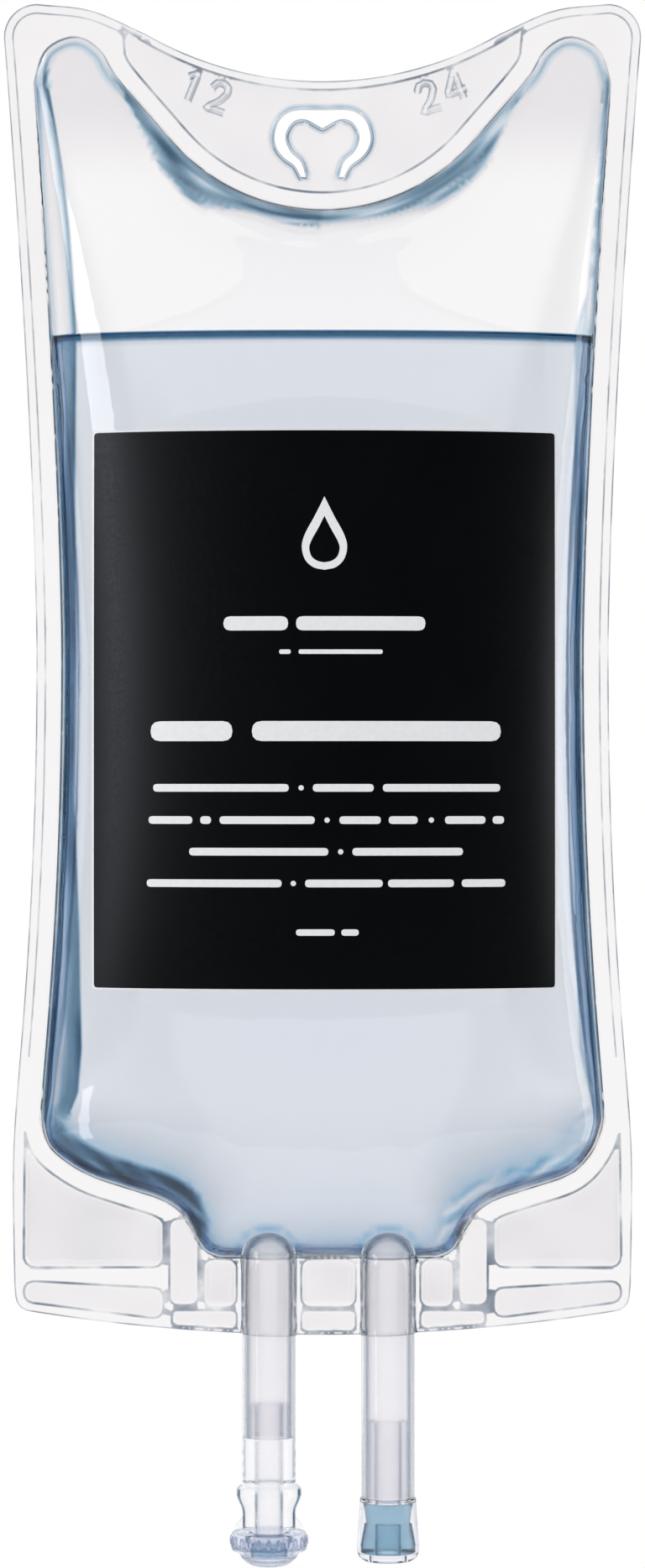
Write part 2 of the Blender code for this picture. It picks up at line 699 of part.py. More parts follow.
def make_connector(x, finish):
    """The spike connector, plugged into the end of the left tube. Heights are from the tube's end."""
    z = SPIKE_TUBE_END_Z
    spigot_r = TUBE_R - TUBE_WALL - SPIGOT_FIT
    bulge_z = FLANGE_TOP_Z - FLANGE_HEIGHT / 2
    seat_z = MOUTH_END_Z + SEPTUM_T + 0.1 * MM
    seat_r = SEPTUM_R + SEPTUM_FIT
    outer = [
        (spigot_r - 0.3 * MM, z + SPIGOT_LENGTH),
        (spigot_r, z + SPIGOT_LENGTH - 0.4 * MM),
        (spigot_r, z),
        (TUBE_R, z),
        (TUBE_R, FLANGE_TOP_Z + 0.3 * MM),
        (FLANGE_R - 0.35 * MM, FLANGE_TOP_Z - 0.1 * MM),
        (FLANGE_R, bulge_z + 0.45 * MM),
        (FLANGE_R, bulge_z - 0.45 * MM),
        (FLANGE_R - 0.35 * MM, FLANGE_TOP_Z - FLANGE_HEIGHT),
        (TUBE_R, FLANGE_TOP_Z - FLANGE_HEIGHT - FLANGE_TAPER),
        (TUBE_R, NECK_END_Z),
        (MOUTH_R, NECK_END_Z),
        (MOUTH_R, MOUTH_END_Z),
    ]
    inner = [
        (seat_r, MOUTH_END_Z),
        (seat_r, seat_z),
        (CONNECTOR_BORE_R, seat_z),
        (CONNECTOR_BORE_R, z + SPIGOT_LENGTH),
    ]
    profile = [(r, h - z) for r, h in outer + inner]
    connector = turned("spike_connector", profile, x, z, finish, closed=True)
    add_fins(connector, x)
    return connector


def add_fins(connector, x):
    """Two thin fins that flare from the neck out to the cap's rim, left and right."""
    for side in (-1, 1):
        root = TUBE_R - TUBE_WALL / 2
        outline = [(root, NECK_END_Z), (FIN_REACH, NECK_END_Z), (FIN_REACH, NECK_END_Z + 0.5 * MM),
                   (root, NECK_END_Z + FIN_HEIGHT)]
        mesh = bpy.data.meshes.new("fin")
        body = bmesh.new()
        verts = [body.verts.new((x + side * r, -FIN_T / 2, h)) for r, h in outline]
        face = body.faces.new(verts)
        grown = bmesh.ops.extrude_face_region(body, geom=[face])["geom"]
        moved = [v for v in grown if isinstance(v, bmesh.types.BMVert)]
        bmesh.ops.translate(body, verts=moved, vec=(0, FIN_T, 0))
        bmesh.ops.recalc_face_normals(body, faces=body.faces)
        body.to_mesh(mesh)
        body.free()
        boolean(connector, new_object("fin", mesh), "UNION")


def make_septum(x, finish):
    top = MOUTH_END_Z + SEPTUM_T + 0.1 * MM
    profile = [(0, 0), (SEPTUM_R, 0), (SEPTUM_R, -SEPTUM_T), (0, -SEPTUM_T)]
    return turned("spike_septum", profile, x, top, finish)


def make_cap(x, finish):
    """The pull-off cap: a ribbed rim over the connector's mouth, with a domed bottom."""
    bore_r = MOUTH_R + CAP_FIT
    floor = MOUTH_END_Z - CAP_END_GAP - CAP_TOP_Z
    rim_low = -CAP_RIM_HEIGHT
    bottom = CAP_BOTTOM_Z - CAP_TOP_Z
    dome_top = rim_low - 0.6 * MM
    outer = [
        (bore_r, 0),
        (CAP_R - RIM_ROUNDING, 0),
        (CAP_R, -RIM_ROUNDING),
        (CAP_R, rim_low + RIM_ROUNDING),
        (CAP_R - 0.6 * MM, rim_low),
        (CAP_DOME_R, dome_top),
        (CAP_DOME_R - 0.4 * MM, (dome_top * 2 + bottom) / 3),
        ((CAP_DOME_R + CAP_TIP_R) / 2, (dome_top + bottom * 3) / 4),
        (CAP_TIP_R, bottom),
        (0, bottom),
    ]
    profile = outer + [(0, floor), (bore_r, floor)]
    body = bmesh.new()
    ring = [body.verts.new((r, 0, h)) for r, h in profile]
    edges = [body.edges.new(pair) for pair in zip(ring, ring[1:] + ring[:1]) if pair[0].co.x or pair[1].co.x]
    bmesh.ops.spin(body, geom=ring + edges, cent=(0, 0, 0), axis=(0, 0, 1), dvec=(0, 0, 0),
                   angle=math.tau, steps=2 * CAP_RIBS, use_merge=False, use_duplicate=False)
    bmesh.ops.remove_doubles(body, verts=body.verts, dist=WELD * 10)
    for vert in body.verts:
        turn = math.atan2(vert.co.y, vert.co.x) / math.tau * 2 * CAP_RIBS
        radius = math.hypot(vert.co.x, vert.co.y)
        if round(turn) % 2 and abs(radius - CAP_R) < 0.01 * MM:
            vert.co.x *= 1 - RIB_DEPTH / radius
            vert.co.y *= 1 - RIB_DEPTH / radius
    bmesh.ops.recalc_face_normals(body, faces=body.faces)
    mesh = bpy.data.meshes.new("spike_cap")
    body.to_mesh(mesh)
    body.free()
    cap = new_object("spike_cap", mesh, finish)
    cap.location = (x, 0, CAP_TOP_Z)
    return cap


def stopper_outline():
    """(radius, height) down the stopper's side, heights from the collar's shoulder."""
    top = -COLLAR_ROOF - STOPPER_FIT
    low = COLLAR_END_Z + COLLAR_LIP - INJECTION_TUBE_END_Z
    waist = top + (low - top) * 0.4
    return [(STOPPER_TOP_R, top), (STOPPER_TOP_R, top * 0.75 + waist * 0.25), (STOPPER_WAIST_R, waist),
            (STOPPER_FOOT_R, waist * 0.3 + low * 0.7), (STOPPER_FOOT_R, low)]


def make_collar(x, finish):
    """The clear collar: a long insert up inside the tube and a flared cup that holds the stopper."""
    insert_r = TUBE_R - TUBE_WALL - SPIGOT_FIT
    end = COLLAR_END_Z - INJECTION_TUBE_END_Z
    cavity = [(r + STOPPER_FIT, h) for r, h in stopper_outline()]
    cavity[0] = (cavity[0][0], -COLLAR_ROOF)
    outer = [
        (insert_r, INSERT_LENGTH),
        (insert_r, 0),
        (COLLAR_TOP_R, 0),
        (COLLAR_TOP_R, -0.8 * MM),
        (COLLAR_FLARE_R - 0.15 * MM, end * 0.62),
        (COLLAR_FLARE_R, end * 0.82),
        (COLLAR_FLARE_R - 0.35 * MM, end * 0.93),
        (COLLAR_FLARE_R - 1.3 * MM, end),
        (COLLAR_MOUTH_R, end),
        (COLLAR_MOUTH_R, cavity[-1][1]),
    ]
    inner = list(reversed(cavity)) + [(CONNECTOR_BORE_R, -COLLAR_ROOF), (CONNECTOR_BORE_R, INSERT_LENGTH)]
    return turned("injection_collar", outer + inner, x, INJECTION_TUBE_END_Z, finish, closed=True)


def make_stopper(x, finish):
    side = stopper_outline()
    top, low = side[0][1], side[-1][1]
    dish = [(0, top - DISH_DEPTH), (STOPPER_TOP_R * 0.55, top - DISH_DEPTH), (STOPPER_TOP_R - 0.5 * MM, top)]
    recess = [(RECESS_R, low), (RECESS_R, low + RECESS_DEPTH), (0, low + RECESS_DEPTH)]
    profile = dish + side + recess
    return turned("injection_stopper", profile, x, INJECTION_TUBE_END_Z, finish)


def build():
    clear_scene()
    sheet = Sheet()
    spike_x, injection_x = tube_xs()
    film = material("clear_film", (0.9, 0.91, 0.93), 0.15)
    tube = material("clear_tube", (0.88, 0.89, 0.91), 0.2)
    rubber = material("blue_rubber", (0.32, 0.48, 0.62), 0.5)
    make_film(sheet, "front_film", -1, film)
    make_film(sheet, "back_film", 1, film)
    make_solution(sheet, material("fluid", (0.72, 0.79, 0.88), 0.05))
    make_label(sheet, material("label_black", (0.02, 0.02, 0.025), 0.4))
    make_tube("spike_tube", spike_x, SPIKE_TUBE_END_Z, tube)
    make_tube("injection_tube", injection_x, INJECTION_TUBE_END_Z, tube)
    make_connector(spike_x, tube)
    make_septum(spike_x, rubber)
    make_cap(spike_x, material("lilac_cap", (0.45, 0.5, 0.78), 0.3))
    make_collar(injection_x, tube)
    make_stopper(injection_x, rubber)


build()
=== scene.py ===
"""The looks of a clear 250 ml infusion bag: welded films, fluid, label, port fittings and the studio.

Metres, +Z up, the front faces -Y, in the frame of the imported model. One flat layout of the films is
triangulated once; the films, the fluid and the label all take their faces and heights from it.
"""

import json
import logging
import math
from dataclasses import dataclass, field
from enum import Enum

import bmesh
import bpy
import numpy as np
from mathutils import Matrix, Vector, noise
from mathutils.geometry import delaunay_2d_cdt

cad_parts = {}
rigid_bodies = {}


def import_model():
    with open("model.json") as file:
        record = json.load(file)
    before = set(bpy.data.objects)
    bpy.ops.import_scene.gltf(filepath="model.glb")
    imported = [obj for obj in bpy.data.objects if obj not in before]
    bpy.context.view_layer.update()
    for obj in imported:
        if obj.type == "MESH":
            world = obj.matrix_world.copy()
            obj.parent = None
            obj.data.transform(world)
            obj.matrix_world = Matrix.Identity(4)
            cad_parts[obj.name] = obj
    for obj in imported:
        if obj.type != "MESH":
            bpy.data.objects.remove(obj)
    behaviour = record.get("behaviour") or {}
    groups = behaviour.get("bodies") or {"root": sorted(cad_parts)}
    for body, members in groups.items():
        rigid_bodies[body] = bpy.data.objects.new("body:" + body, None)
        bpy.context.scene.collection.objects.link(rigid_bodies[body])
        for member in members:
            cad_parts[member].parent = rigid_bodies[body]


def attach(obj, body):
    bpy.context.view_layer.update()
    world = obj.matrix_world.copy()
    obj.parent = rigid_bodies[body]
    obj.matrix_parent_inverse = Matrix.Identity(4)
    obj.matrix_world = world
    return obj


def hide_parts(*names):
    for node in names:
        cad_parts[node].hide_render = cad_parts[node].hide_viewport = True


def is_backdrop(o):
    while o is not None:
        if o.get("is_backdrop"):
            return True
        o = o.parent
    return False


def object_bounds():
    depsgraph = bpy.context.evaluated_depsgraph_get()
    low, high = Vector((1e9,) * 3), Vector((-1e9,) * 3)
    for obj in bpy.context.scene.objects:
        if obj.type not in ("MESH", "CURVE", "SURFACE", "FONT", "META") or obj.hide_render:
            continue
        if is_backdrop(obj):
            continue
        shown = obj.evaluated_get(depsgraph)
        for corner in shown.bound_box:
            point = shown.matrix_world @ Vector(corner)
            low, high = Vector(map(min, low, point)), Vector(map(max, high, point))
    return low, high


LOG = logging.getLogger("infusion_bag")
MM = 0.001
WELD = 1e-7
Path = list[Vector]
Array = np.ndarray
Socket = bpy.types.NodeSocket


# Paths in the plane of the films


def curve_through(points: list[tuple[float, float]], step: float) -> Path:
    """Draws a smooth open curve through the points.

    Args:
        points: (x, z) pairs that the curve meets.
        step: distance between two points of the result.

    Returns:
        The curve's points in order.
    """
    knots = [Vector(point) for point in points]
    padded = [2 * knots[0] - knots[1], *knots, 2 * knots[-1] - knots[-2]]
    path = [knots[0]]
    for a, b, c, d in zip(padded, padded[1:], padded[2:], padded[3:]):
        count = max(1, round((c - b).length / step))
        for i in range(1, count + 1):
            t = i / count
            square = (2 * a - 5 * b + 4 * c - d) * t * t
            cube = (3 * b - a - 3 * c + d) * t * t * t
            path.append((2 * b + (c - a) * t + square + cube) / 2)
    return path


def straight(start: tuple[float, float], end: tuple[float, float], step: float) -> Path:
    """Draws a straight line with a point about every step.

    Args:
        start: first (x, z).
        end: last (x, z).
        step: distance between two points.

    Returns:
        The line's points in order.
    """
    a, b = Vector(start), Vector(end)
    count = max(1, round((b - a).length / step))
    return [a.lerp(b, i / count) for i in range(count + 1)]


def corner_arc(centre: tuple[float, float], radius: float, start_deg: float, end_deg: float,
               count: int) -> Path:
    """Returns an arc of a circle between two angles, in a count of steps."""
    angles = np.radians(np.linspace(start_deg, end_deg, count + 1))
    return [Vector(centre) + radius * Vector((math.cos(a), math.sin(a))) for a in angles]


def joined(*stretches: Path) -> Path:
    """Puts stretches end to end.

    Args:
        stretches: paths in order.

    Returns:
        One path without the points that repeat.
    """
    path: Path = []
    for stretch in stretches:
        path += [p for p in stretch if not path or (p - path[-1]).length > WELD]
    if (path[0] - path[-1]).length <= WELD:
        path.pop()
    return path


def mirrored(path: Path) -> Path:
    """Returns the path on the other side of the middle, run backwards."""
    return [Vector((-p.x, p.y)) for p in reversed(path)]


def anticlockwise(path: Path) -> Path:
    """Returns the closed path, turned round if it runs clockwise."""
    area = sum(a.x * b.y - b.x * a.y for a, b in zip(path, path[1:] + path[:1]))
    return path if area > 0 else list(reversed(path))


def resampled(path: Path, step: float, closed: bool = True) -> Path:
    """Spaces a path's points evenly along it.

    Args:
        path: the points in order.
        step: wanted distance between two points.
        closed: whether the last point joins the first.

    Returns:
        The evenly spaced points.
    """
    knots = np.array([tuple(p) for p in path + (path[:1] if closed else [])])
    along = np.concatenate([[0], np.cumsum(np.linalg.norm(np.diff(knots, axis=0), axis=1))])
    count = max(3, round(along[-1] / step))
    stops = np.linspace(0, along[-1], count + 1)[:count if closed else count + 1]
    spaced = np.column_stack([np.interp(stops, along, knots[:, k]) for k in range(2)])
    return [Vector(p) for p in spaced]


def offset(path: Path, distance: float, closed: bool = True) -> Path:
    """Moves a path sideways.

    Args:
        path: the points in order.
        distance: how far to its right, as it runs.
        closed: whether the last point joins the first.

    Returns:
        The moved path.
    """
    moved = []
    for i, point in enumerate(path):
        before = path[i - 1] if closed or i else path[i]
        after = path[(i + 1) % len(path)] if closed or i < len(path) - 1 else path[i]
        arriving = (point - before).normalized() if point != before else (after - point).normalized()
        leaving = (after - point).normalized() if after != point else arriving
        along = (arriving + leaving).normalized()
        stretch = 1 / max(0.5, along.dot(leaving))
        moved.append(point + Vector((along.y, -along.x)) * distance * stretch)
    return moved


def rounded_box(corners: list[tuple[float, float]], radius: float, step: float,
                rounds: int = 5) -> Path:
    """Draws a closed outline through convex corners, each with a round.

    Args:
        corners: (x, z) of each sharp corner.
        radius: the radius of the rounds.
        step: distance between points on the straights.
        rounds: points on a round.

    Returns:
        The outline's points in order.
    """
    path: Path = []
    for i, corner_point in enumerate(corners):
        corner = Vector(corner_point)
        back = (Vector(corners[i - 1]) - corner).normalized()
        ahead = (Vector(corners[(i + 1) % len(corners)]) - corner).normalized()
        reach = radius / math.tan(back.angle(ahead) / 2)
        a, b = corner + back * reach, corner + ahead * reach
        arc = []
        for t in np.linspace(0, 1, rounds):
            arc.append(a.lerp(corner, t).lerp(corner.lerp(b, t), t))
        if path:
            path += straight(path[-1], arc[0], step)[1:-1]
        path += arc
    path += straight(path[-1], path[0], step)[1:-1]
    return path


def box_corners(x0: float, z0: float, x1: float, z1: float) -> list[tuple[float, float]]:
    """Returns a box's corners, anticlockwise from the lower left."""
    return [(x0, z0), (x1, z0), (x1, z1), (x0, z1)]


def inside(path: Path, points: Array) -> Array:
    """Tells which points lie inside a closed path.

    Args:
        path: the closed path.
        points: (n, 2) array of x and z.

    Returns:
        A boolean for each point.
    """
    x, z = points[:, 0], points[:, 1]
    crossed = np.zeros(len(points), bool)
    for (ax, az), (bx, bz) in zip(path, path[1:] + path[:1]):
        if az == bz:
            continue
        spans = (az > z) != (bz > z)
        crossed ^= spans & (x < ax + (z - az) * (bx - ax) / (bz - az))
    return crossed


def distance_to(path: Path, points: Array, closed: bool = True) -> Array:
    """Measures how far each point is from a path.

    Args:
        path: the path.
        points: (n, 2) array of x and z.
        closed: whether the last point joins the first.

    Returns:
        A distance for each point.
    """
    nearest = np.full(len(points), np.inf)
    for a, b in zip(path, path[1:] + (path[:1] if closed else [])):
        ax, az = a
        dx, dz = b[0] - ax, b[1] - az
        px, pz = points[:, 0] - ax, points[:, 1] - az
        share = np.clip((px * dx + pz * dz) / max(dx * dx + dz * dz, WELD**2), 0, 1)
        gap = (px - share * dx) ** 2 + (pz - share * dz) ** 2
        nearest = np.minimum(nearest, gap)
    return np.sqrt(nearest)


def smooth_step(low: float, high: float, value: Array) -> Array:
    """Returns each value eased from 0 at low to 1 at high."""
    t = np.clip((value - low) / (high - low), 0, 1)
    return t * t * (3 - 2 * t)


def bump(distance: Array, width: float) -> Array:
    """Returns a round ridge of height 1 at distance 0 that fades over the width."""
    return np.exp(-((distance / width) ** 2))


def wander(points: Array, size: float, seed: float) -> Array:
    """Returns smooth noise of about -1 to 1 with hills a size apart; a seed picks the pattern."""
    return np.array([noise.noise(Vector((x / size, z / size, seed))) for x, z in points]) * 1.6


# Finishes


class Mix(Enum):
    """How two colours are mixed."""

    BLEND = "MIX"
    TIMES = "MULTIPLY"


@dataclass
class NodeGraph:
    """One of Blender's node trees, with the means to add nodes and join them."""

    tree: bpy.types.NodeTree

    def feed(self, socket: Socket, value: object) -> None:
        """Sets a socket or joins another socket to it."""
        if isinstance(value, Socket):
            self.tree.links.new(value, socket)
        else:
            socket.default_value = value

    def node(self, kind: str, **values: object) -> bpy.types.Node:
        """Adds a node.

        Args:
            kind: Blender's name for it.
            values: attributes to set and sockets to feed; a socket's name has _ for a space.

        Returns:
            The node.
        """
        made = self.tree.nodes.new(kind)
        for key, value in values.items():
            if hasattr(made, key):
                setattr(made, key, value)
            else:
                self.feed(made.inputs[key.replace("_", " ")], value)
        return made

    def filled(self, kind: str, *values: object, **choices: object) -> Socket:
        """Adds a node, feeds its sockets in order and returns its first output."""
        made = self.node(kind, **choices)
        for socket, value in zip(made.inputs, values):
            self.feed(socket, value)
        return made.outputs[0]

    def maths(self, operation: str, *values: object) -> Socket:
        """Returns the result of one sum on sockets or numbers."""
        return self.filled("ShaderNodeMath", *values, operation=operation)

    def mixed(self, share: Socket | float, first: object, second: object,
              how: Mix = Mix.BLEND) -> Socket:
        """Mixes two colours.

        Args:
            share: how much of the second, a socket or a number.
            first: a colour or a socket.
            second: a colour or a socket.
            how: the kind of mix.

        Returns:
            The mix's colour socket.
        """
        mix = self.node("ShaderNodeMix", data_type="RGBA", blend_type=how.value)
        for index, value in ((0, share), (6, first), (7, second)):
            self.feed(mix.inputs[index], value)
        return mix.outputs[2]


class Shader(NodeGraph):
    """A material under construction: one Principled node and the nodes that feed it."""

    def __init__(self, name: str) -> None:
        """Starts the material."""
        self.made = bpy.data.materials.new(name)
        self.made.use_nodes = True
        super().__init__(self.made.node_tree)
        self.main = self.tree.nodes["Principled BSDF"]

    def set(self, **values: object) -> None:
        """Feeds the Principled node's sockets, whose names are written with _ for a space."""
        for key, value in values.items():
            self.feed(self.main.inputs[key.replace("_", " ")], value)

    def stored(self, name: str) -> Socket:
        """Returns the number that is stored on the points under a name."""
        return self.node("ShaderNodeAttribute", attribute_name=name).outputs["Fac"]

    def speckle(self, size: float, detail: float = 2.0,
                stretch: tuple = (1, 1, 1)) -> Socket:
        """Adds noise on Object coordinates.

        Args:
            size: how far apart its hills are, in metres.
            detail: octaves.
            stretch: scale along each axis.

        Returns:
            The noise's value socket.
        """
        place = self.node("ShaderNodeTexCoord").outputs["Object"]
        mapping = self.node("ShaderNodeMapping", Vector=place, Scale=stretch)
        grain = self.node("ShaderNodeTexNoise", Vector=mapping.outputs[0], Scale=1 / size, Detail=detail)
        return grain.outputs["Fac"]

    def ranged(self, source: Socket, low: float, high: float,
               start: float = 0.3, stop: float = 0.7) -> Socket:
        """Maps a value from start..stop to low..high and returns the socket."""
        return self.node("ShaderNodeMapRange", Value=source, From_Min=start, From_Max=stop, To_Min=low,
                         To_Max=high).outputs["Result"]

    def facing(self, blend: float, start: float, stop: float) -> Socket:
        """Returns 0 where the surface faces the eye, up to 1 where it turns away."""
        turned = self.node("ShaderNodeLayerWeight", Blend=blend)
        return self.ranged(turned.outputs["Facing"], 0.0, 1.0, start, stop)

    def ramp(self, source: Socket, stops: tuple) -> Socket:
        """Turns a value into a colour.

        Args:
            source: the value's socket.
            stops: (value, colour) pairs in order.

        Returns:
            The colour's socket.
        """
        made = self.node("ShaderNodeValToRGB", Fac=source)
        elements = made.color_ramp.elements
        elements.remove(elements[1])
        for i, (place, colour) in enumerate(stops):
            element = elements[0] if i == 0 else elements.new(place)
            element.position, element.color = place, (*colour, 1)
        return made.outputs["Color"]

    def bumped(self, height: Socket, depth: float, strength: float) -> None:
        """Feeds the normal with a height of a full depth in metres, and shows a share of it."""
        relief = self.node("ShaderNodeBump", Height=height, Distance=depth, Strength=strength)
        self.set(Normal=relief.outputs["Normal"])

    def absorb(self, colour: tuple, density: float) -> None:
        """Makes the inside take up the light that the colour lacks, at a density per metre."""
        volume = self.node("ShaderNodeVolumeAbsorption", Color=(*colour, 1), Density=density)
        self.feed(self.tree.nodes["Material Output"].inputs["Volume"], volume.outputs["Volume"])


@dataclass(frozen=True)
class ClearFilm:
    """Glossy flexible film with painted blue-grey shade where it folds steeply and turns away, and darker
    lines along its seams.
    """

    # Colours of the painted shade, near white to deep blue-grey, picked by the stored share
    shade_stops: tuple = ((0.0, (0.985, 0.983, 0.983)), (0.12, (0.86, 0.852, 0.866)), (0.3, (0.62, 0.74, 0.83)),
                     (0.55, (0.30, 0.45, 0.57)), (0.8, (0.10, 0.19, 0.28)), (1.0, (0.035, 0.07, 0.105)))
    # Painted shade towards the edges, where the surface turns away from the eye
    grazing: tuple = (0.66, 0.77, 0.86, 1)
    seam: tuple = (0.36, 0.41, 0.48, 1)

    def build(self) -> bpy.types.Material:
        """Returns the material."""
        shader = Shader("clear_film_gloss")
        depth = shader.ramp(shader.stored("painted_shade"), self.shade_stops)
        # The painted shade from the stored share, darkened again at grazing angles
        painted_tint = shader.mixed(shader.facing(0.35, 0.35, 0.95), depth, self.grazing, Mix.TIMES)
        line = shader.ranged(shader.stored("drawn"), 1.0, 0.0, 0.06, 0.28)
        broken = shader.ranged(shader.speckle(8 * MM, 3.0), 0.12, 0.95, 0.35, 0.62)
        share = shader.maths("MULTIPLY", line, broken)
        shader.set(Transmission_Weight=1.0, IOR=1.46, Specular_IOR_Level=0.5,
                   Base_Color=shader.mixed(share, painted_tint, self.seam),
                   Roughness=shader.ranged(shader.speckle(9 * MM, 3.0), 0.01, 0.05))
        shader.bumped(shader.speckle(5 * MM), 0.05 * MM, 0.5)
        return shader.made


@dataclass(frozen=True)
class WateryFluid:
    """Clear watery fluid with a cool cast, and painted blue shade where its sides turn away and where the
    stored flank share lies.
    """

    clear: tuple = (0.832, 0.856, 0.882, 1)
    # Colour of the painted shade on the flanks, base, dome arcs and surface line
    flank: tuple = (0.17, 0.52, 0.78, 1)
    grazing: tuple = (0.56, 0.75, 0.90, 1)

    def build(self) -> bpy.types.Material:
        """Returns the material."""
        shader = Shader("watery_fluid")
        # Painted shade: bluer at grazing angles, and blue in streaks where the stored flank share lies
        edge = shader.mixed(shader.facing(0.4, 0.3, 0.9), self.clear, self.grazing)
        streak = shader.speckle(7 * MM, 3.0, (1.0, 1.0, 0.18))
        share = shader.maths("MULTIPLY", shader.stored("flank"), shader.ranged(streak, 0.6, 1.0))
        shader.set(Transmission_Weight=1.0, IOR=1.333, Roughness=0.0,
                   Base_Color=shader.mixed(share, edge, self.flank))
        shader.absorb((0.22, 0.50, 0.86), 5.5)
        return shader.made


@dataclass(frozen=True)
class SatinBlack:
    """Satin black print on the label's front, with a fine tooth."""

    ink: tuple = (0.0007, 0.0008, 0.0010, 1)
    worn: tuple = (0.0014, 0.0015, 0.0020, 1)

    def build(self) -> bpy.types.Material:
        """Returns the material."""
        shader = Shader("label_satin_black")
        cloud = shader.ranged(shader.speckle(14 * MM, 3.0), 0.0, 1.0)
        grain = shader.speckle(0.5 * MM)
        shader.set(Specular_IOR_Level=0.35, Specular_Tint=(0.86, 0.91, 1.0, 1),
                   Base_Color=shader.mixed(cloud, self.ink, self.worn),
                   Roughness=shader.ranged(grain, 0.35, 0.42))
        shader.bumped(grain, 0.01 * MM, 0.3)
        return shader.made


@dataclass(frozen=True)
class WhiteStock:
    """The label's white stock and the white print, with a faint grain."""

    name: str
    tone: float

    def build(self) -> bpy.types.Material:
        """Returns the material."""
        shader = Shader(self.name)
        grain = shader.ranged(shader.speckle(0.8 * MM), 0.0, 1.0)
        light = (self.tone, self.tone, self.tone * 1.005, 1)
        shade = (self.tone * 0.95, self.tone * 0.95, self.tone * 0.96, 1)
        shader.set(Specular_IOR_Level=0.4, Roughness=0.45, Base_Color=shader.mixed(grain, shade, light))
        shader.bumped(grain, 0.01 * MM, 0.3)
        return shader.made


@dataclass(frozen=True)
class CloudyPlastic:
    """Clear plastic with a milky cast, painted blue-grey shade towards its edges and a frosted bore: the port
    tubes and the mouldings.
    """

    name: str
    clear: tuple
    grazing: tuple
    ior: float
    haze: tuple[float, float] = (0.06, 0.10)
    frost: float = 0.24

    def build(self) -> bpy.types.Material:
        """Returns the material."""
        shader = Shader(self.name)
        cloud = shader.ranged(shader.speckle(6 * MM), 0.0, 0.06)
        cast = shader.mixed(cloud, self.clear, self.grazing)
        mist = shader.ranged(shader.speckle(8 * MM, 1.0), *self.haze)
        # Towards the edges the colour turns to the grazing colour: painted shade where the surface turns away
        shader.set(Transmission_Weight=1.0, IOR=self.ior,
                   Base_Color=shader.mixed(shader.facing(0.35, 0.2, 0.85), cast, self.grazing),
                   Roughness=shader.maths("MULTIPLY_ADD", shader.stored("bore"), self.frost, mist))
        return shader.made


@dataclass(frozen=True)
class TintedSolid:
    """Translucent coloured plastic or rubber, part solid and part see-through, paler in a random cloud and
    with a painted sheen towards its edges.
    """

    name: str
    body: tuple
    pale: tuple
    ior: float
    clearness: float
    rough: tuple[float, float]
    density: float = 0.0
    dye: tuple = (0.05, 0.44, 0.62)

    def build(self) -> bpy.types.Material:
        """Returns the material."""
        shader = Shader(self.name)
        if self.density:
            shader.absorb(self.dye, self.density)
        cloud = shader.ranged(shader.speckle(2 * MM, 3.0), 0.0, 0.35)
        # Paler in a random cloud, and towards the edges a painted sheen
        share = shader.maths("MAXIMUM", cloud, shader.facing(0.5, 0.35, 1.0))
        grain = shader.speckle(0.6 * MM)
        shader.set(Transmission_Weight=self.clearness, IOR=self.ior,
                   Base_Color=shader.mixed(share, self.body, self.pale),
                   Roughness=shader.ranged(grain, *self.rough))
        shader.bumped(grain, 0.01 * MM, 0.2)
        return shader.made


# Meshes


def object_from(name: str, verts: Array, faces: list | Array,
                finishes: list[bpy.types.Material], slots: Array | None = None,
                crease_deg: float = 40) -> bpy.types.Object:
    """Makes an object at the origin from points and faces.

    Args:
        name: the piece's name.
        verts: (n, 3) points.
        faces: corners of each face.
        finishes: the materials of its slots.
        slots: the slot of each face.
        crease_deg: edges bent by more stay sharp.

    Returns:
        The new object.
    """
    mesh = bpy.data.meshes.new(name)
    mesh.from_pydata(verts.tolist(), [], [list(map(int, f)) for f in faces])
    for finish in finishes:
        mesh.materials.append(finish)
    if slots is not None:
        mesh.polygons.foreach_set("material_index", slots.astype(np.int32))
    smoothed(mesh, crease_deg)
    obj = bpy.data.objects.new(name, mesh)
    bpy.context.scene.collection.objects.link(obj)
    return obj


def smoothed(mesh: bpy.types.Mesh, crease_deg: float = 40) -> None:
    """Shades a mesh smooth but for the edges bent by more than the crease."""
    mesh.shade_smooth()
    mesh.set_sharp_from_angle(angle=math.radians(crease_deg))


def faced_outwards(obj: bpy.types.Object) -> bpy.types.Object:
    """Turns the faces of a closed mesh outwards and returns the object."""
    body = bmesh.new()
    body.from_mesh(obj.data)
    bmesh.ops.recalc_face_normals(body, faces=body.faces)
    body.to_mesh(obj.data)
    body.free()
    return obj


def add_attribute(obj: bpy.types.Object, name: str, values: Array) -> None:
    """Stores one number on each vertex under a name."""
    made = obj.data.attributes.new(name, "FLOAT", "POINT")
    made.data.foreach_set("value", values.astype(np.float32))


def mark_bore(obj: bpy.types.Object, x: float, radius: float, top_z: float) -> None:
    """Marks the points of a turned piece that lie in its bore.

    Args:
        obj: the piece.
        x: where its axis stands.
        radius: the bore's radius.
        top_z: the bore's upper end.
    """
    co = np.empty(len(obj.data.vertices) * 3)
    obj.data.vertices.foreach_get("co", co)
    co = co.reshape(-1, 3)
    away = np.hypot(co[:, 0] - x, co[:, 1])
    add_attribute(obj, "bore", ((away < radius) & (co[:, 2] < top_z)).astype(float))


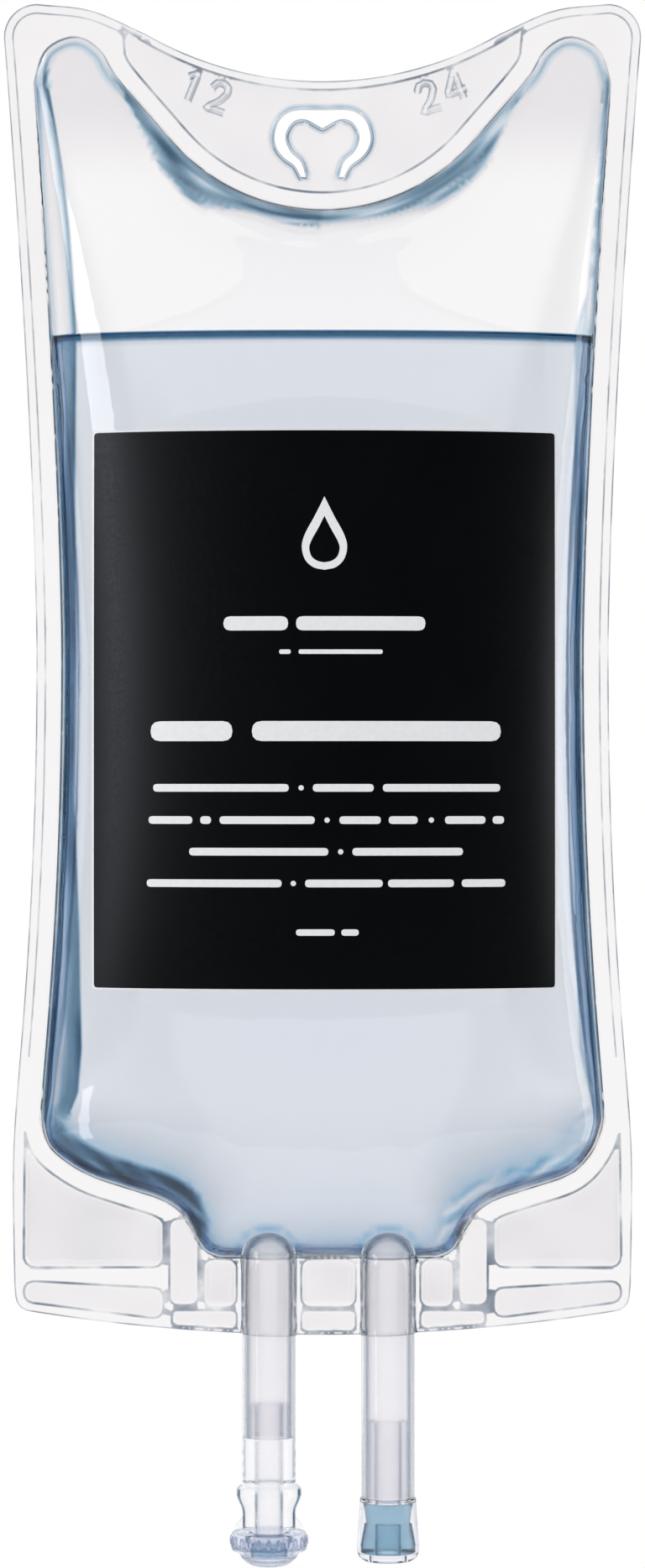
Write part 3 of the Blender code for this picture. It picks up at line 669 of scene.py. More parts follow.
def vertex_normals(verts: Array, faces: Array) -> Array:
    """Works out smooth normals.

    Args:
        verts: (n, 3) points.
        faces: (m, 3) corners.

    Returns:
        (n, 3) unit normals.
    """
    a, b, c = (verts[faces[:, k]] for k in range(3))
    face = np.cross(b - a, c - a)
    total = np.zeros_like(verts)
    for k in range(3):
        for axis in range(3):
            total[:, axis] += np.bincount(faces[:, k], face[:, axis], len(verts))
    return total / np.maximum(np.linalg.norm(total, axis=1, keepdims=True), 1e-30)


def outward_normals(verts: Array, faces: Array, side: int) -> Array:
    """Returns smooth normals turned to the front (-1) or the back (1)."""
    normals = vertex_normals(verts, faces)
    flip = np.sign(normals[:, 1] * side)
    return normals * np.where(flip == 0, 1, flip)[:, None]


def doubled_area(points: Array, faces: Array) -> Array:
    """Returns twice the area of each flat face, below 0 where it runs clockwise."""
    a, b, c = (points[faces[:, k]] for k in range(3))
    return (b[:, 0] - a[:, 0]) * (c[:, 1] - a[:, 1]) - (c[:, 0] - a[:, 0]) * (b[:, 1] - a[:, 1])


def anticlockwise_faces(points: Array, faces: Array) -> Array:
    """Returns the flat faces, turned round where they run clockwise."""
    return np.where((doubled_area(points, faces) > 0)[:, None], faces, faces[:, ::-1])


def rim_edges(faces: Array) -> Array:
    """Finds the edges with a face on one side only.

    Args:
        faces: (m, 3) corners.

    Returns:
        (k, 2) edges as the faces run them.
    """
    ends = np.concatenate([faces[:, [0, 1]], faces[:, [1, 2]], faces[:, [2, 0]]])
    keys = np.sort(ends, axis=1)
    _, first, counts = np.unique(keys, axis=0, return_index=True, return_counts=True)
    return ends[first[counts == 1]]


def compact(faces: Array) -> tuple[Array, Array]:
    """Returns the numbers of the points that faces use, and the faces numbered anew from 0."""
    used, index = np.unique(faces, return_inverse=True)
    return used, index.reshape(-1, 3)


@dataclass(frozen=True)
class Turning:
    """A body turned about a vertical axis."""

    steps: int = 96
    rounding: int = 4

    def eased(self, profile: list[tuple[float, float, float]]) -> list[tuple[float, float]]:
        """Rounds a profile's corners.

        Args:
            profile: (radius, height, rounding radius) points.

        Returns:
            (radius, height) points.
        """
        eased_points: list[tuple[float, float]] = []
        count = len(profile)
        for i, (r, h, radius) in enumerate(profile):
            here = Vector((r, h))
            back = Vector(profile[i - 1][:2]) - here
            ahead = Vector(profile[(i + 1) % count][:2]) - here
            if radius <= 0 or back.length < WELD or ahead.length < WELD:
                eased_points.append((r, h))
                continue
            reach = min(radius, back.length * 0.48, ahead.length * 0.48)
            a, b = here + back.normalized() * reach, here + ahead.normalized() * reach
            for t in np.linspace(0, 1, self.rounding + 1):
                p = a.lerp(here, t).lerp(here.lerp(b, t), t)
                eased_points.append((p.x, p.y))
        return eased_points

    def turn(self, name: str, profile: list[tuple[float, float, float]], x: float, z: float,
             finish: bpy.types.Material, closed: bool = False,
             crease_deg: float = 40) -> bpy.types.Object:
        """Turns a profile into a closed body.

        Args:
            name: the piece's name.
            profile: (radius, height, rounding radius), top to bottom on the outside.
            x: where the axis stands.
            z: the height that the profile's heights start from.
            finish: its material.
            closed: whether the profile is a ring that stays off the axis.
            crease_deg: edges bent by more stay sharp.

        Returns:
            The new object.
        """
        points = self.eased(profile)
        verts: list[tuple[float, float, float]] = []
        rows: list[list[int]] = []
        for r, h in points:
            if r < WELD:
                rows.append([len(verts)] * self.steps)
                verts.append((x, 0.0, z + h))
                continue
            rows.append(list(range(len(verts), len(verts) + self.steps)))
            for i in range(self.steps):
                angle = math.tau * i / self.steps
                verts.append((x + r * math.cos(angle), r * math.sin(angle), z + h))
        faces = []
        pairs = list(zip(rows, rows[1:] + (rows[:1] if closed else [])))
        for upper, lower in pairs[:None if closed else len(rows) - 1]:
            for i in range(self.steps):
                j = (i + 1) % self.steps
                corners = [upper[i], lower[i], lower[j], upper[j]]
                face = [c for k, c in enumerate(corners) if c != corners[k - 1]]
                if len(face) > 2:
                    faces.append(face)
        return faced_outwards(object_from(name, np.array(verts), faces, [finish], crease_deg=crease_deg))


# The films' layout


@dataclass(frozen=True)
class FilmSizes:
    """The films' outline, seals, panels and chamber, as in the part's source."""

    shoulder_half: float = 50.3 * MM
    shoulder_top_z: float = 16.7 * MM
    shoulder_corner_r: float = 5.2 * MM
    waist_half: float = 45.15 * MM
    waist_z: float = -86.0 * MM
    hip_half: float = 49.1 * MM
    hip_z: float = -163.0 * MM
    foot_half: float = 48.5 * MM
    foot_corner_r: float = 2.5 * MM
    foot_z: float = -193.5 * MM
    foot_arc_r: float = 290.0 * MM
    hanger_arc_z: float = 4.5 * MM
    hanger_arc_r: float = 56.0 * MM
    hanger_arc_half: float = 28.0 * MM
    shoulder_curve: float = 1.5
    hip_curve: float = 2.1
    hip_rounding: float = 0.5 * MM
    film_t: float = 0.3 * MM
    side_seal: float = 4.3 * MM
    seal_band: float = 3.0 * MM
    edge_land: float = 1.4 * MM
    panel_rise: float = 0.35 * MM
    panel_bevel: float = 0.7 * MM
    panel_corner_r: float = 1.6 * MM
    panel_overhang: float = 3.5 * MM
    strip_gap: float = 1.6 * MM
    strip_slope: float = 1.2 * MM
    port_panel_gap: float = 0.4 * MM
    pipe_clearance: float = 0.3 * MM
    rib: float = 2.2 * MM
    chamber_top_z: float = -16.0 * MM
    chamber_top_r: float = 31.5 * MM
    chamber_top_half: float = 24.0 * MM
    chamber_bottom_z: float = -181.2 * MM
    lobe_x: float = 39.0 * MM
    lobe_top_z: float = 11.5 * MM
    lobe_drop: float = 7.0 * MM
    belly_half_depth: float = 15.3 * MM
    hydrostatic_load: float = 0.7
    leg_inner: float = 20.1 * MM
    leg_width: float = 4.6 * MM
    lobe_curve: tuple = ((4.6, -2.0), (0, 0), (-3.9, -2.2), (-6.6, -6.6))
    base_curve: tuple = ((-3.0, 0), (-0.6, 1.0), (0.9, 3.4), (2.8, 6.8), (6.0, 9.1), (11.4, 10.9),
                         (18.2, 13.3))
    hip_turn: tuple = ((1.7, 17.2), (0, 21.5))
    slot_edge: tuple = ((0, 0), (3.9, 0), (5.7, -0.6), (6.95, -1.9), (7.6, -4.2), (7.2, -6.2),
                        (6.0, -7.7), (4.4, -8.9), (3.4, -10.7))
    flap_edge: tuple = ((2.6, -10.7), (3.4, -8.2), (5.1, -6.5), (5.85, -4.2), (4.7, -2.05),
                        (2.7, -1.6), (0, -3.0))
    fluid_z: float = -35.9 * MM
    port_centre_x: float = 0.95 * MM
    port_spacing: float = 18.8 * MM
    tube_r: float = 4.2 * MM
    tube_fit: float = 0.04 * MM
    dome_gap: float = 0.12 * MM
    fluid_gap: float = 0.35 * MM
    # (height, distance from the middle) in millimetres of the line where each flank turns steep and its
    # painted shade sets in
    left_flank: tuple = ((-170, 46), (-161, 40.7), (-155, 38.2), (-148, 37.6), (-128, 38), (-109, 38.8),
                         (-86, 38.5), (-62, 38.7), (-36, 38.5), (-29, 38.9), (-19, 39.7), (-12, 40.5),
                         (-2, 42.1), (4, 43.2))
    right_flank: tuple = ((-170, 47), (-158, 42.5), (-148, 40.2), (-128, 39.4), (-62, 39.4), (-36, 39.5),
                          (-29, 41.4), (-12, 42.6), (4, 44))
    flank_ends: tuple[float, float] = (-158.0 * MM, 3.0 * MM)
    flank_edge: tuple[float, float] = (-0.2 * MM, 0.25 * MM)

    @property
    def tube_xs(self) -> tuple[float, float]:
        """Where the two port tubes stand, left then right."""
        half = self.port_spacing / 2
        return self.port_centre_x - half, self.port_centre_x + half

    @property
    def pipe_r(self) -> float:
        """The radius of the films' half pipes over the tubes."""
        return self.tube_r + self.tube_fit


@dataclass(frozen=True)
class FilmOutlines:
    """The lines of the flat film, drawn from its sizes."""

    sizes: FilmSizes
    step: float = 1.0 * MM

    def side_half_width(self, z: float) -> float:
        """Returns half the film's width at a height: wide shoulders, a drawn-in waist, hips."""
        s = self.sizes
        shoulder_z = s.shoulder_top_z - s.shoulder_corner_r
        if z > s.waist_z:
            rise = min(1.0, (z - s.waist_z) / (shoulder_z - s.waist_z))
            return s.waist_half + (s.shoulder_half - s.waist_half) * rise**s.shoulder_curve
        drop = (s.waist_z - z) / (s.waist_z - s.hip_z)
        flare = s.waist_half + (s.hip_half - s.waist_half) * drop**s.hip_curve
        straight_side = s.hip_half + (s.foot_half - s.hip_half) * (s.hip_z - z) / (s.hip_z - s.foot_z)
        nearer = math.exp(-flare / s.hip_rounding) + math.exp(-straight_side / s.hip_rounding)
        return -s.hip_rounding * math.log(nearer)

    def foot_z(self, x: float) -> float:
        """Returns the height of the film's foot."""
        s = self.sizes
        return s.foot_z + s.foot_arc_r - math.sqrt(s.foot_arc_r**2 - x * x)

    def hanger_z(self, x: float) -> float:
        """Returns the height of the concave top edge."""
        s = self.sizes
        return s.hanger_arc_z + s.hanger_arc_r - math.sqrt(s.hanger_arc_r**2 - x * x)

    def side_path(self, inset: float, low_z: float, high_z: float) -> Path:
        """Draws the right side, bottom to top.

        Args:
            inset: how far inside the film's edge.
            low_z: where it starts.
            high_z: where it ends.

        Returns:
            The line's points.
        """
        heights = np.linspace(low_z, high_z, max(2, round((high_z - low_z) / self.step)))
        return [Vector((self.side_half_width(z) - inset, z)) for z in heights]

    def film(self) -> Path:
        """Returns the film's outline, anticlockwise."""
        s = self.sizes
        corner_x = s.foot_half - s.foot_corner_r
        corner_z = self.foot_z(corner_x) + s.foot_corner_r
        shoulder_x = s.shoulder_half - s.shoulder_corner_r
        shoulder_z = s.shoulder_top_z - s.shoulder_corner_r
        foot = [Vector((x, self.foot_z(x))) for x in np.linspace(0, corner_x, 40)]
        foot_corner = corner_arc((corner_x, corner_z), s.foot_corner_r, -90, 0, 8)
        side = self.side_path(0, corner_z + 2 * self.step, shoulder_z - 2 * self.step)
        shoulder = corner_arc((shoulder_x, shoulder_z), s.shoulder_corner_r, 0, 90, 12)
        arc_end = Vector((s.hanger_arc_half, self.hanger_z(s.hanger_arc_half)))
        slope_x = (shoulder_x + s.hanger_arc_half) / 2
        slope_z = s.shoulder_top_z - 0.22 * (s.shoulder_top_z - arc_end.y)
        slope = curve_through([shoulder[-1], (slope_x, slope_z), arc_end], self.step)
        arc = [Vector((x, self.hanger_z(x))) for x in np.linspace(s.hanger_arc_half, 0, 30)]
        half = joined(foot, foot_corner, side, shoulder, slope, arc)
        return resampled(joined(half, mirrored(half)), self.step)

    def base_curve(self, side: int) -> Path:
        """Returns the S from a leg of the seal to under the hip, on one side (-1 or 1)."""
        s = self.sizes
        leg_x = s.port_centre_x + side * s.leg_inner
        points = [(leg_x + side * dx * MM, s.chamber_bottom_z + dz * MM) for dx, dz in s.base_curve]
        for inward, rise in s.hip_turn:
            z = s.chamber_bottom_z + rise * MM
            points.append((side * (self.side_half_width(z) - s.side_seal - inward * MM), z))
        return curve_through(points, self.step)

    def chamber_top(self) -> Path:
        """Returns the line from the right lobe's side over it to the middle of the concave top."""
        s = self.sizes
        arc = [Vector((x, s.chamber_top_z + s.chamber_top_r - math.sqrt(s.chamber_top_r**2 - x * x)))
               for x in np.linspace(s.chamber_top_half, 0, 26)]
        side_z = s.lobe_top_z - s.lobe_drop
        lobe = [(s.lobe_x + dx * MM, s.lobe_top_z + dz * MM) for dx, dz in s.lobe_curve]
        points = [(self.side_half_width(side_z) - s.side_seal, side_z), *lobe, tuple(arc[0])]
        return joined(curve_through(points, self.step), arc)

    def chamber(self) -> Path:
        """Returns the chamber's outline, anticlockwise."""
        s = self.sizes
        start = (s.port_centre_x, s.chamber_bottom_z)
        halves = []
        for side in (1, -1):
            base = self.base_curve(side)
            top_z = s.lobe_top_z - s.lobe_drop - 4 * self.step
            side_edge = self.side_path(s.side_seal, base[-1].y + 4 * self.step, top_z)
            half = joined(side_edge, self.chamber_top())
            if side < 0:
                half = mirrored(half)[::-1]
            halves.append(joined(straight(start, base[0], self.step), base, half))
        return resampled(anticlockwise(joined(halves[0], list(reversed(halves[1])))), self.step)

    def flank_lines(self) -> list[Path]:
        """Returns the two lines between which each flank's painted shade sets in."""
        s = self.sizes
        rows = np.arange(*s.flank_ends, 0.8 * MM)
        lines = []
        for side, flank in ((-1, s.left_flank), (1, s.right_flank)):
            heights, widths = np.array(flank).T * MM
            reach = np.interp(rows, heights, widths)
            for out in s.flank_edge:
                lines.append([Vector((side * (x + out), z)) for x, z in zip(reach, rows)])
        return lines

    def slot(self) -> Path:
        """Returns the outline of the cut around the heart-shaped flap."""
        s = self.sizes
        edge = curve_through([(x * MM, z * MM) for x, z in s.slot_edge], 0.4 * MM)
        flap = curve_through([(x * MM, z * MM) for x, z in s.flap_edge], 0.4 * MM)
        half = joined(edge, flap)
        return anticlockwise(joined(half, mirrored(half)))

    def hanger_panel(self) -> Path:
        """Returns the outline of the flat panel around the slot."""
        s = self.sizes
        half = s.hanger_arc_half + s.panel_overhang
        top = [Vector((x, self.hanger_z(x) - s.edge_land)) for x in np.linspace(half, -half, 60)]
        lower = offset(self.chamber_top(), s.seal_band, closed=False)
        fits = [p for p in lower if p.x < half and p.y < self.hanger_z(p.x) - 2 * s.edge_land]
        return anticlockwise(joined(top, list(reversed(joined(fits, mirrored(fits))))))

    def corner_panels(self, side: int) -> list[Path]:
        """Returns the puffed panel under a hip and the strip below it, on one side (-1 or 1)."""
        s = self.sizes
        edge_x = side * (self.side_half_width(s.foot_z) - s.edge_land)
        leg_x = s.port_centre_x + side * (s.leg_inner + s.leg_width + s.edge_land)
        upper_low_z = s.chamber_bottom_z - s.strip_gap
        strip_top_z = upper_low_z - s.rib
        curve = offset(self.base_curve(side), side * s.seal_band, closed=False)
        curve = [p for p in curve if abs(leg_x) + 0.2 * MM < abs(p.x) < abs(edge_x)]
        radius = s.panel_corner_r
        inner_low = [Vector((leg_x + side * (radius - radius * math.sin(a)),
                             upper_low_z + radius - radius * math.cos(a)))
                     for a in np.linspace(0, math.pi / 2, 7)]
        outer_low = [Vector((edge_x - side * (radius - radius * math.sin(a)),
                             upper_low_z + radius - radius * math.cos(a)))
                     for a in np.linspace(math.pi / 2, 0, 7)]
        leg_top = Vector((leg_x, curve[0].y - s.panel_bevel))
        upper = joined(curve, outer_low, inner_low, [leg_top])
        strip_low = self.foot_z(edge_x) + s.edge_land
        strip = rounded_box([(leg_x, strip_top_z - s.strip_slope), (edge_x, strip_top_z),
                             (edge_x, strip_low), (leg_x, self.foot_z(leg_x) + s.edge_land)],
                            radius, self.step)
        return [resampled(anticlockwise(p), self.step * 0.8) for p in (upper, strip)]

    def port_spans(self, reach: float) -> list[tuple[float, float]]:
        """Returns the (left, right) stretches beside and between the tubes, out to a reach."""
        s = self.sizes
        left, right = s.tube_xs
        clear = s.pipe_r + s.film_t + s.pipe_clearance + 0.3 * MM
        return [(s.port_centre_x - reach, left - clear), (left + clear, right - clear),
                (right + clear, s.port_centre_x + reach)]

    def port_panels(self) -> list[Path]:
        """Returns the three small panels beside and between the port tubes."""
        s = self.sizes
        top = s.chamber_bottom_z - s.port_panel_gap
        low = s.foot_z + 2 * s.rib
        return [anticlockwise(rounded_box([(a, top), (b, top), (b, low), (a, low)],
                                          s.panel_corner_r, self.step))
                for a, b in self.port_spans(s.leg_inner - s.port_panel_gap)]

    def leg_tabs(self) -> list[Path]:
        """Returns the two tabs in which the seal's band runs down beside the port panels."""
        s = self.sizes
        top, low = s.chamber_bottom_z + 6.0 * MM, s.foot_z + 2 * s.rib + 0.3 * MM
        tabs = []
        for side in (-1, 1):
            a = s.port_centre_x + side * (s.leg_inner + 0.5 * MM)
            b = s.port_centre_x + side * (s.leg_inner + s.leg_width + 0.4 * MM)
            tabs.append(rounded_box(box_corners(min(a, b), low, max(a, b), top), 1.5 * MM, self.step * 0.8))
        return tabs

    def foot_ribs(self) -> list[Path]:
        """Returns the three low ribs along the foot, beside and between the tubes."""
        s = self.sizes
        top = s.foot_z + 1.75 * s.rib
        ribs = []
        for a, b in self.port_spans(s.leg_inner + s.leg_width):
            low_a, low_b = self.foot_z(a) + 0.55 * MM, self.foot_z(b) + 0.55 * MM
            ribs.append(rounded_box([(a, low_a), (b, low_b), (b, top), (a, top)], 0.8 * MM,
                                    self.step * 0.8))
        return ribs


@dataclass(frozen=True)
class LabelSizes:
    """The label's outline and its plain print, read from the front at the label's own distance."""

    centre_x: float = 0.3 * MM
    width: float = 72.2 * MM
    height: float = 87.3 * MM
    top_z: float = -51.3 * MM
    edge: float = 0.28 * MM
    lift: float = 0.06 * MM
    thickness: float = 0.12 * MM
    dot: float = 0.42 * MM
    # Each row of the print: height of its middle below the label's top, bar height, (start, end) of each bar
    rows: tuple = (
        (30.3, 2.2, ((-15.6, -5.6), (-4.4, 15.6))),
        (34.7, 0.7, ((-7.0, -5.2), (-4.0, 9.0))),
        (47.0, 3.1, ((-26.9, -14.2), (-11.2, 27.3))),
        (55.8, 1.2, ((-26.5, -5.5), (-1.8, 7.6), (9.0, 27.2))),
        (60.8, 1.2, ((-27.2, -20.4), (-19.2, -17.5), (-16.2, -1.5), (2.3, 8.7), (9.9, 14.4),
                     (18.6, 24.9), (26.0, 27.8))),
        (65.7, 1.2, ((-20.9, 0.6), (4.3, 21.4))),
        (70.6, 1.2, ((-27.5, -6.6), (-3.0, 9.0), (9.8, 20.0), (21.2, 28.0))),
        (78.2, 1.0, ((-4.4, 1.6), (2.6, 5.3))),
    )
    dots: tuple = ((-3.6, 55.8), (0.4, 60.8), (16.5, 60.8), (2.5, 65.7), (-4.8, 70.6))
    drop: tuple = ((0.0, 10.6), (1.5, 13.6), (3.0, 16.4), (3.5, 18.4), (3.0, 20.4), (1.7, 21.6), (0.0, 22.0))
    drop_core: tuple = ((0.0, 13.6), (1.0, 15.6), (2.0, 17.4), (2.35, 18.6), (2.0, 19.9), (1.1, 20.6),
                        (0.0, 20.85))

    def outline(self, inset: float = 0.0) -> Path:
        """Returns the label's edge, moved inwards by the inset."""
        left, right = self.centre_x - self.width / 2 + inset, self.centre_x + self.width / 2 - inset
        top, low = self.top_z - inset, self.top_z - self.height + inset
        return rounded_box(box_corners(left, low, right, top), 0.5 * MM, 1.0 * MM, 3)

    def print_shapes(self) -> list[Path]:
        """Returns the outlines of the bars, the dots and the drop's outer edge."""
        shapes = []
        for down, tall, bars in self.rows:
            z, half = self.top_z - down * MM, tall * MM / 2
            for a, b in bars:
                x0, x1 = self.centre_x + a * MM, self.centre_x + b * MM
                corners = box_corners(x0, z - half, x1, z + half)
                shapes.append(rounded_box(corners, half * 0.98, 1.2 * MM, 4))
        for x, down in self.dots:
            centre = (self.centre_x + x * MM, self.top_z - down * MM)
            shapes.append(corner_arc(centre, self.dot, 0, 330, 11))
        shapes.append(self.drop_shape(self.drop))
        return shapes

    def drop_shape(self, half: tuple) -> Path:
        """Returns a closed drop from (x, down) points of its right side."""
        right = curve_through([(x * MM, self.top_z - down * MM) for x, down in half], 0.3 * MM)
        whole = anticlockwise(joined(right, mirrored(right)))
        return [Vector((p.x + self.centre_x, p.y)) for p in whole]


@dataclass(frozen=True)
class MouldNumbers:
    """Two plain numbers pressed into the hanger panel, one on each side of the slot."""

    strokes: tuple = (
        ("1", ((-1.0, 1.5), (0.2, 2.4), (0.2, -2.4))),
        ("2", ((-1.4, 1.3), (-0.9, 2.2), (0.1, 2.45), (1.2, 1.9), (1.3, 0.9), (0.4, -0.7),
               (-1.5, -2.4), (1.6, -2.4))),
        ("4", ((0.8, -2.4), (0.8, 2.4), (-1.6, -1.0), (1.7, -1.0))),
    )
    places: tuple = (("1", -20.6, 3.7, -22), ("2", -16.4, 2.1, -18), ("2", 16.6, 2.1, 18),
                     ("4", 20.8, 3.7, 22))
    scale: float = 0.92

    def paths(self) -> list[Path]:
        """Returns the strokes of each number where it stands."""
        drawn = dict(self.strokes)
        made = []
        for digit, x, z, turn in self.places:
            c, s = math.cos(math.radians(turn)), math.sin(math.radians(turn))
            path = [Vector(((x + (px * c - pz * s) * self.scale) * MM,
                            (z + (px * s + pz * c) * self.scale) * MM)) for px, pz in drawn[digit]]
            made.append(resampled(path, 0.5 * MM, closed=False))
        return made


class FilmLayout:
    """The triangulated flat film, with the filled shape's height at each of its points."""

    def __init__(self, sizes: FilmSizes, label: LabelSizes, numbers: MouldNumbers) -> None:
        """Lays the film out and fills it.

        Args:
            sizes: the film's sizes.
            label: the label, whose edges are cut into the layout.
            numbers: the pressed numbers.
        """
        self.sizes = sizes
        self.label_sizes = label
        lines = FilmOutlines(sizes)
        self.lines = lines
        self.outline = lines.film()
        self.chamber = lines.chamber()
        self.slot = lines.slot()
        self.tops = [lines.chamber_top(), mirrored(lines.chamber_top())]
        corners = [path for side in (1, -1) for path in lines.corner_panels(side)]
        ports, low = lines.port_panels(), [*lines.leg_tabs(), *lines.foot_ribs()]
        self.panels = [resampled(lines.hanger_panel(), lines.step), *corners, *ports, *low]
        # How high each panel is puffed up, and how far in from its edge that takes
        flat, large, small = (0.0, 1.0), (0.9 * MM, 3.2 * MM), (0.45 * MM, 2.0 * MM)
        self.puffs = [flat, large, flat, large, flat, *[small] * len(ports), *[flat] * len(low)]
        self.numbers = numbers.paths()
        self.label = label.outline()
        self.label_inner = label.outline(label.edge)
        self.prints = label.print_shapes()
        self.drop_core = label.drop_shape(label.drop_core)
        self.domes = self.dome_arcs()
        self.fluid = offset(self.chamber, -sizes.fluid_gap)
        self.points, self.faces = self.triangulated()
        self.measure()
        self.height = self.shaped()

    def dome_arcs(self) -> list[Path]:
        """Returns the half circles where the fluid ends over the tubes' tops."""
        s = self.sizes
        reach = s.pipe_r + s.dome_gap
        return [corner_arc((x, s.chamber_bottom_z), reach, 0, 180, 24) for x in s.tube_xs]

    def pipe_lines(self) -> list[Path]:
        """Returns lines along each half pipe, from its dome to the film's foot."""
        s = self.sizes
        angles = np.radians(np.linspace(-90, 90, 15))
        return [straight((x + s.pipe_r * math.sin(a), s.chamber_bottom_z - 0.01 * MM),
                         (x + s.pipe_r * math.sin(a), s.foot_z - s.rib), 1.2 * MM)
                for x in s.tube_xs for a in angles]

    def triangulated(self) -> tuple[Array, Array]:
        """Joins every line and the free points into triangles.

        Returns:
            (n, 2) points and (m, 3) faces.
        """
        coords: Path = []
        edges: list[tuple[int, int]] = []
        loops = [self.outline, self.slot, self.chamber, self.fluid, self.label, self.label_inner,
                 self.drop_core, *self.panels, *self.prints]
        s = self.sizes
        reach = self.lines.side_half_width(s.fluid_z) - s.side_seal - s.fluid_gap
        levels = [straight((-reach, s.fluid_z - down), (reach, s.fluid_z - down), 1.0 * MM)
                  for down in (-0.25 * MM, 0, 0.4 * MM, 0.8 * MM, 1.15 * MM, 1.5 * MM, 1.9 * MM)]
        open_lines = [*levels, *self.domes, *self.pipe_lines(), *self.numbers, *self.lines.flank_lines()]
        for path, closed in [(p, True) for p in loops] + [(p, False) for p in open_lines]:
            start = len(coords)
            coords.extend(path)
            edges.extend((start + i, start + i + 1) for i in range(len(path) - 1))
            if closed:
                edges.append((len(coords) - 1, start))
        held = np.array([tuple(p) for p in coords])
        coords.extend(Vector(p) for p in self.free_points(held))
        made = delaunay_2d_cdt(coords, edges, [], 0, WELD)
        points = np.array([tuple(p) for p in made[0]])
        faces = np.array(made[2])
        middles = points[faces].mean(axis=1)
        keep = inside(self.outline, middles) & ~inside(self.slot, middles)
        keep &= abs(doubled_area(points, faces)) > WELD**2
        used, index = compact(faces[keep])
        return points[used], index

    def free_points(self, held: Array) -> Array:
        """Spreads points over the film: beside each line, and in a loose grid.

        Args:
            held: the points of the lines.

        Returns:
            (n, 2) points that keep clear of each other.
        """
        beside = []
        for path, distances in ((self.chamber, (-0.7, -1.1, -1.6, -2.2, -3.0, -3.9, -5.0, 0.35, 0.7,
                                                1.1, 1.6)),
                                (self.outline, (-0.3, -0.6, -0.95, -1.4)),
                                (self.slot, (0.3, 0.6, 1.0, 1.5))):
            for d in distances:
                beside.append((offset(path, d * MM), 0.5 * abs(d) ** 0.3 * MM))
        for path in self.tops:
            beside += [(offset(path, -d * MM, closed=False), 0.45 * MM)
                       for d in (2.6, 3.4, 4.4, 5.0, 5.6, 6.2, 6.9, 7.6)]
        for path in self.panels:
            beside += [(offset(path, d * MM), 0.45 * MM) for d in (-0.3, -0.6, -0.95, -1.5, 0.25)]
        for path in self.numbers:
            beside += [(offset(path, d * MM, closed=False), 0.22 * MM)
                       for d in (-0.75, -0.5, -0.25, 0.25, 0.5, 0.75)]
        rows = np.arange(self.sizes.foot_z, self.sizes.shoulder_top_z, 1.15 * MM)
        width = self.sizes.shoulder_half
        grid = [(x + (i % 2) * 0.65 * MM, z) for i, z in enumerate(rows)
                for x in np.arange(-width, width, 1.3 * MM)]
        beside.append(([Vector(p) for p in grid], 0.85 * MM))
        cell = 1.0 * MM
        taken: dict[tuple[int, int], list[tuple[float, float]]] = {}
        for x, z in held:
            taken.setdefault((int(x // cell), int(z // cell)), []).append((x, z))
        kept = []
        for path, room in beside:
            points = np.array([tuple(p) for p in path])
            points = points[inside(self.outline, points)]
            for x, z in points:
                i, j = int(x // cell), int(z // cell)
                near = [q for a in (-1, 0, 1) for b in (-1, 0, 1) for q in taken.get((i + a, j + b), ())]
                least = max(room, 0.2 * MM) * 0.8
                if all((x - qx) ** 2 + (z - qz) ** 2 > least * least for qx, qz in near):
                    taken.setdefault((i, j), []).append((x, z))
                    kept.append((x, z))
        return np.array(kept)

    def measure(self) -> None:
        """Stores each point's distances from the main lines, which the forms below use."""
        p = self.points
        self.from_chamber = distance_to(self.chamber, p)
        self.in_chamber = inside(self.chamber, p) & (self.from_chamber > 10 * WELD)
        self.depth = np.where(self.in_chamber, self.from_chamber, -self.from_chamber)
        self.from_outline = distance_to(self.outline, p)
        self.from_slot = distance_to(self.slot, p)
        self.from_top = np.minimum(*[distance_to(path, p, closed=False) for path in self.tops])
        self.from_numbers = np.minimum.reduce([distance_to(q, p, closed=False) for q in self.numbers])
        self.from_domes = np.minimum.reduce([distance_to(q, p, closed=False) for q in self.domes])
        self.from_panels = [distance_to(path, p) for path in self.panels]

    def sag(self) -> Array:
        """Solves a membrane over the chamber, held at its edge, under the fluid's load.

        Returns:
            Each point's share of the deepest sag.
        """
        s = self.sizes
        middles = self.points[self.faces].mean(axis=1)
        faces = self.faces[inside(self.chamber, middles)]
        free = self.in_chamber
        count = len(self.points)
        p = self.points
        starts, ends, weights = [], [], []
        corner = [p[faces[:, k]] for k in range(3)]
        area = abs(doubled_area(p, faces)) / 2
        for k in range(3):
            a, b, c = corner[k], corner[(k + 1) % 3], corner[(k + 2) % 3]
            cot = ((b - a) * (c - a)).sum(axis=1) / np.maximum(2 * area, 1e-16)
            starts.append(faces[:, (k + 1) % 3])
            ends.append(faces[:, (k + 2) % 3])
            weights.append(cot / 2)
        start, end, weight = map(np.concatenate, (starts, ends, weights))
        depth = (s.lobe_top_z - middles[inside(self.chamber, middles)][:, 1]) / (
            s.lobe_top_z - s.chamber_bottom_z)
        share = area / 3 * (1 + s.hydrostatic_load * depth)
        load = sum(np.bincount(faces[:, k], share, count) for k in range(3)) * free
        diagonal = np.bincount(start, weight, count) + np.bincount(end, weight, count)
        diagonal[~free] = 1

        def pulled(x: Array) -> Array:
            """Returns the membrane's pull at each free point."""
            out = diagonal * x - np.bincount(start, weight * x[end], count)
            return (out - np.bincount(end, weight * x[start], count)) * free

        x = np.zeros(count)
        rest = load.copy()
        z = rest / diagonal
        way = z.copy()
        power = rest @ z
        for _ in range(1500):
            pull = pulled(way)
            move = power / (way @ pull)
            x += move * way
            rest -= move * pull
            z = rest / diagonal
            new = rest @ z
            if new < 1e-14 * (load @ (load / diagonal)):
                break
            way = z + new / power * way
            power = new
        return x / x.max()

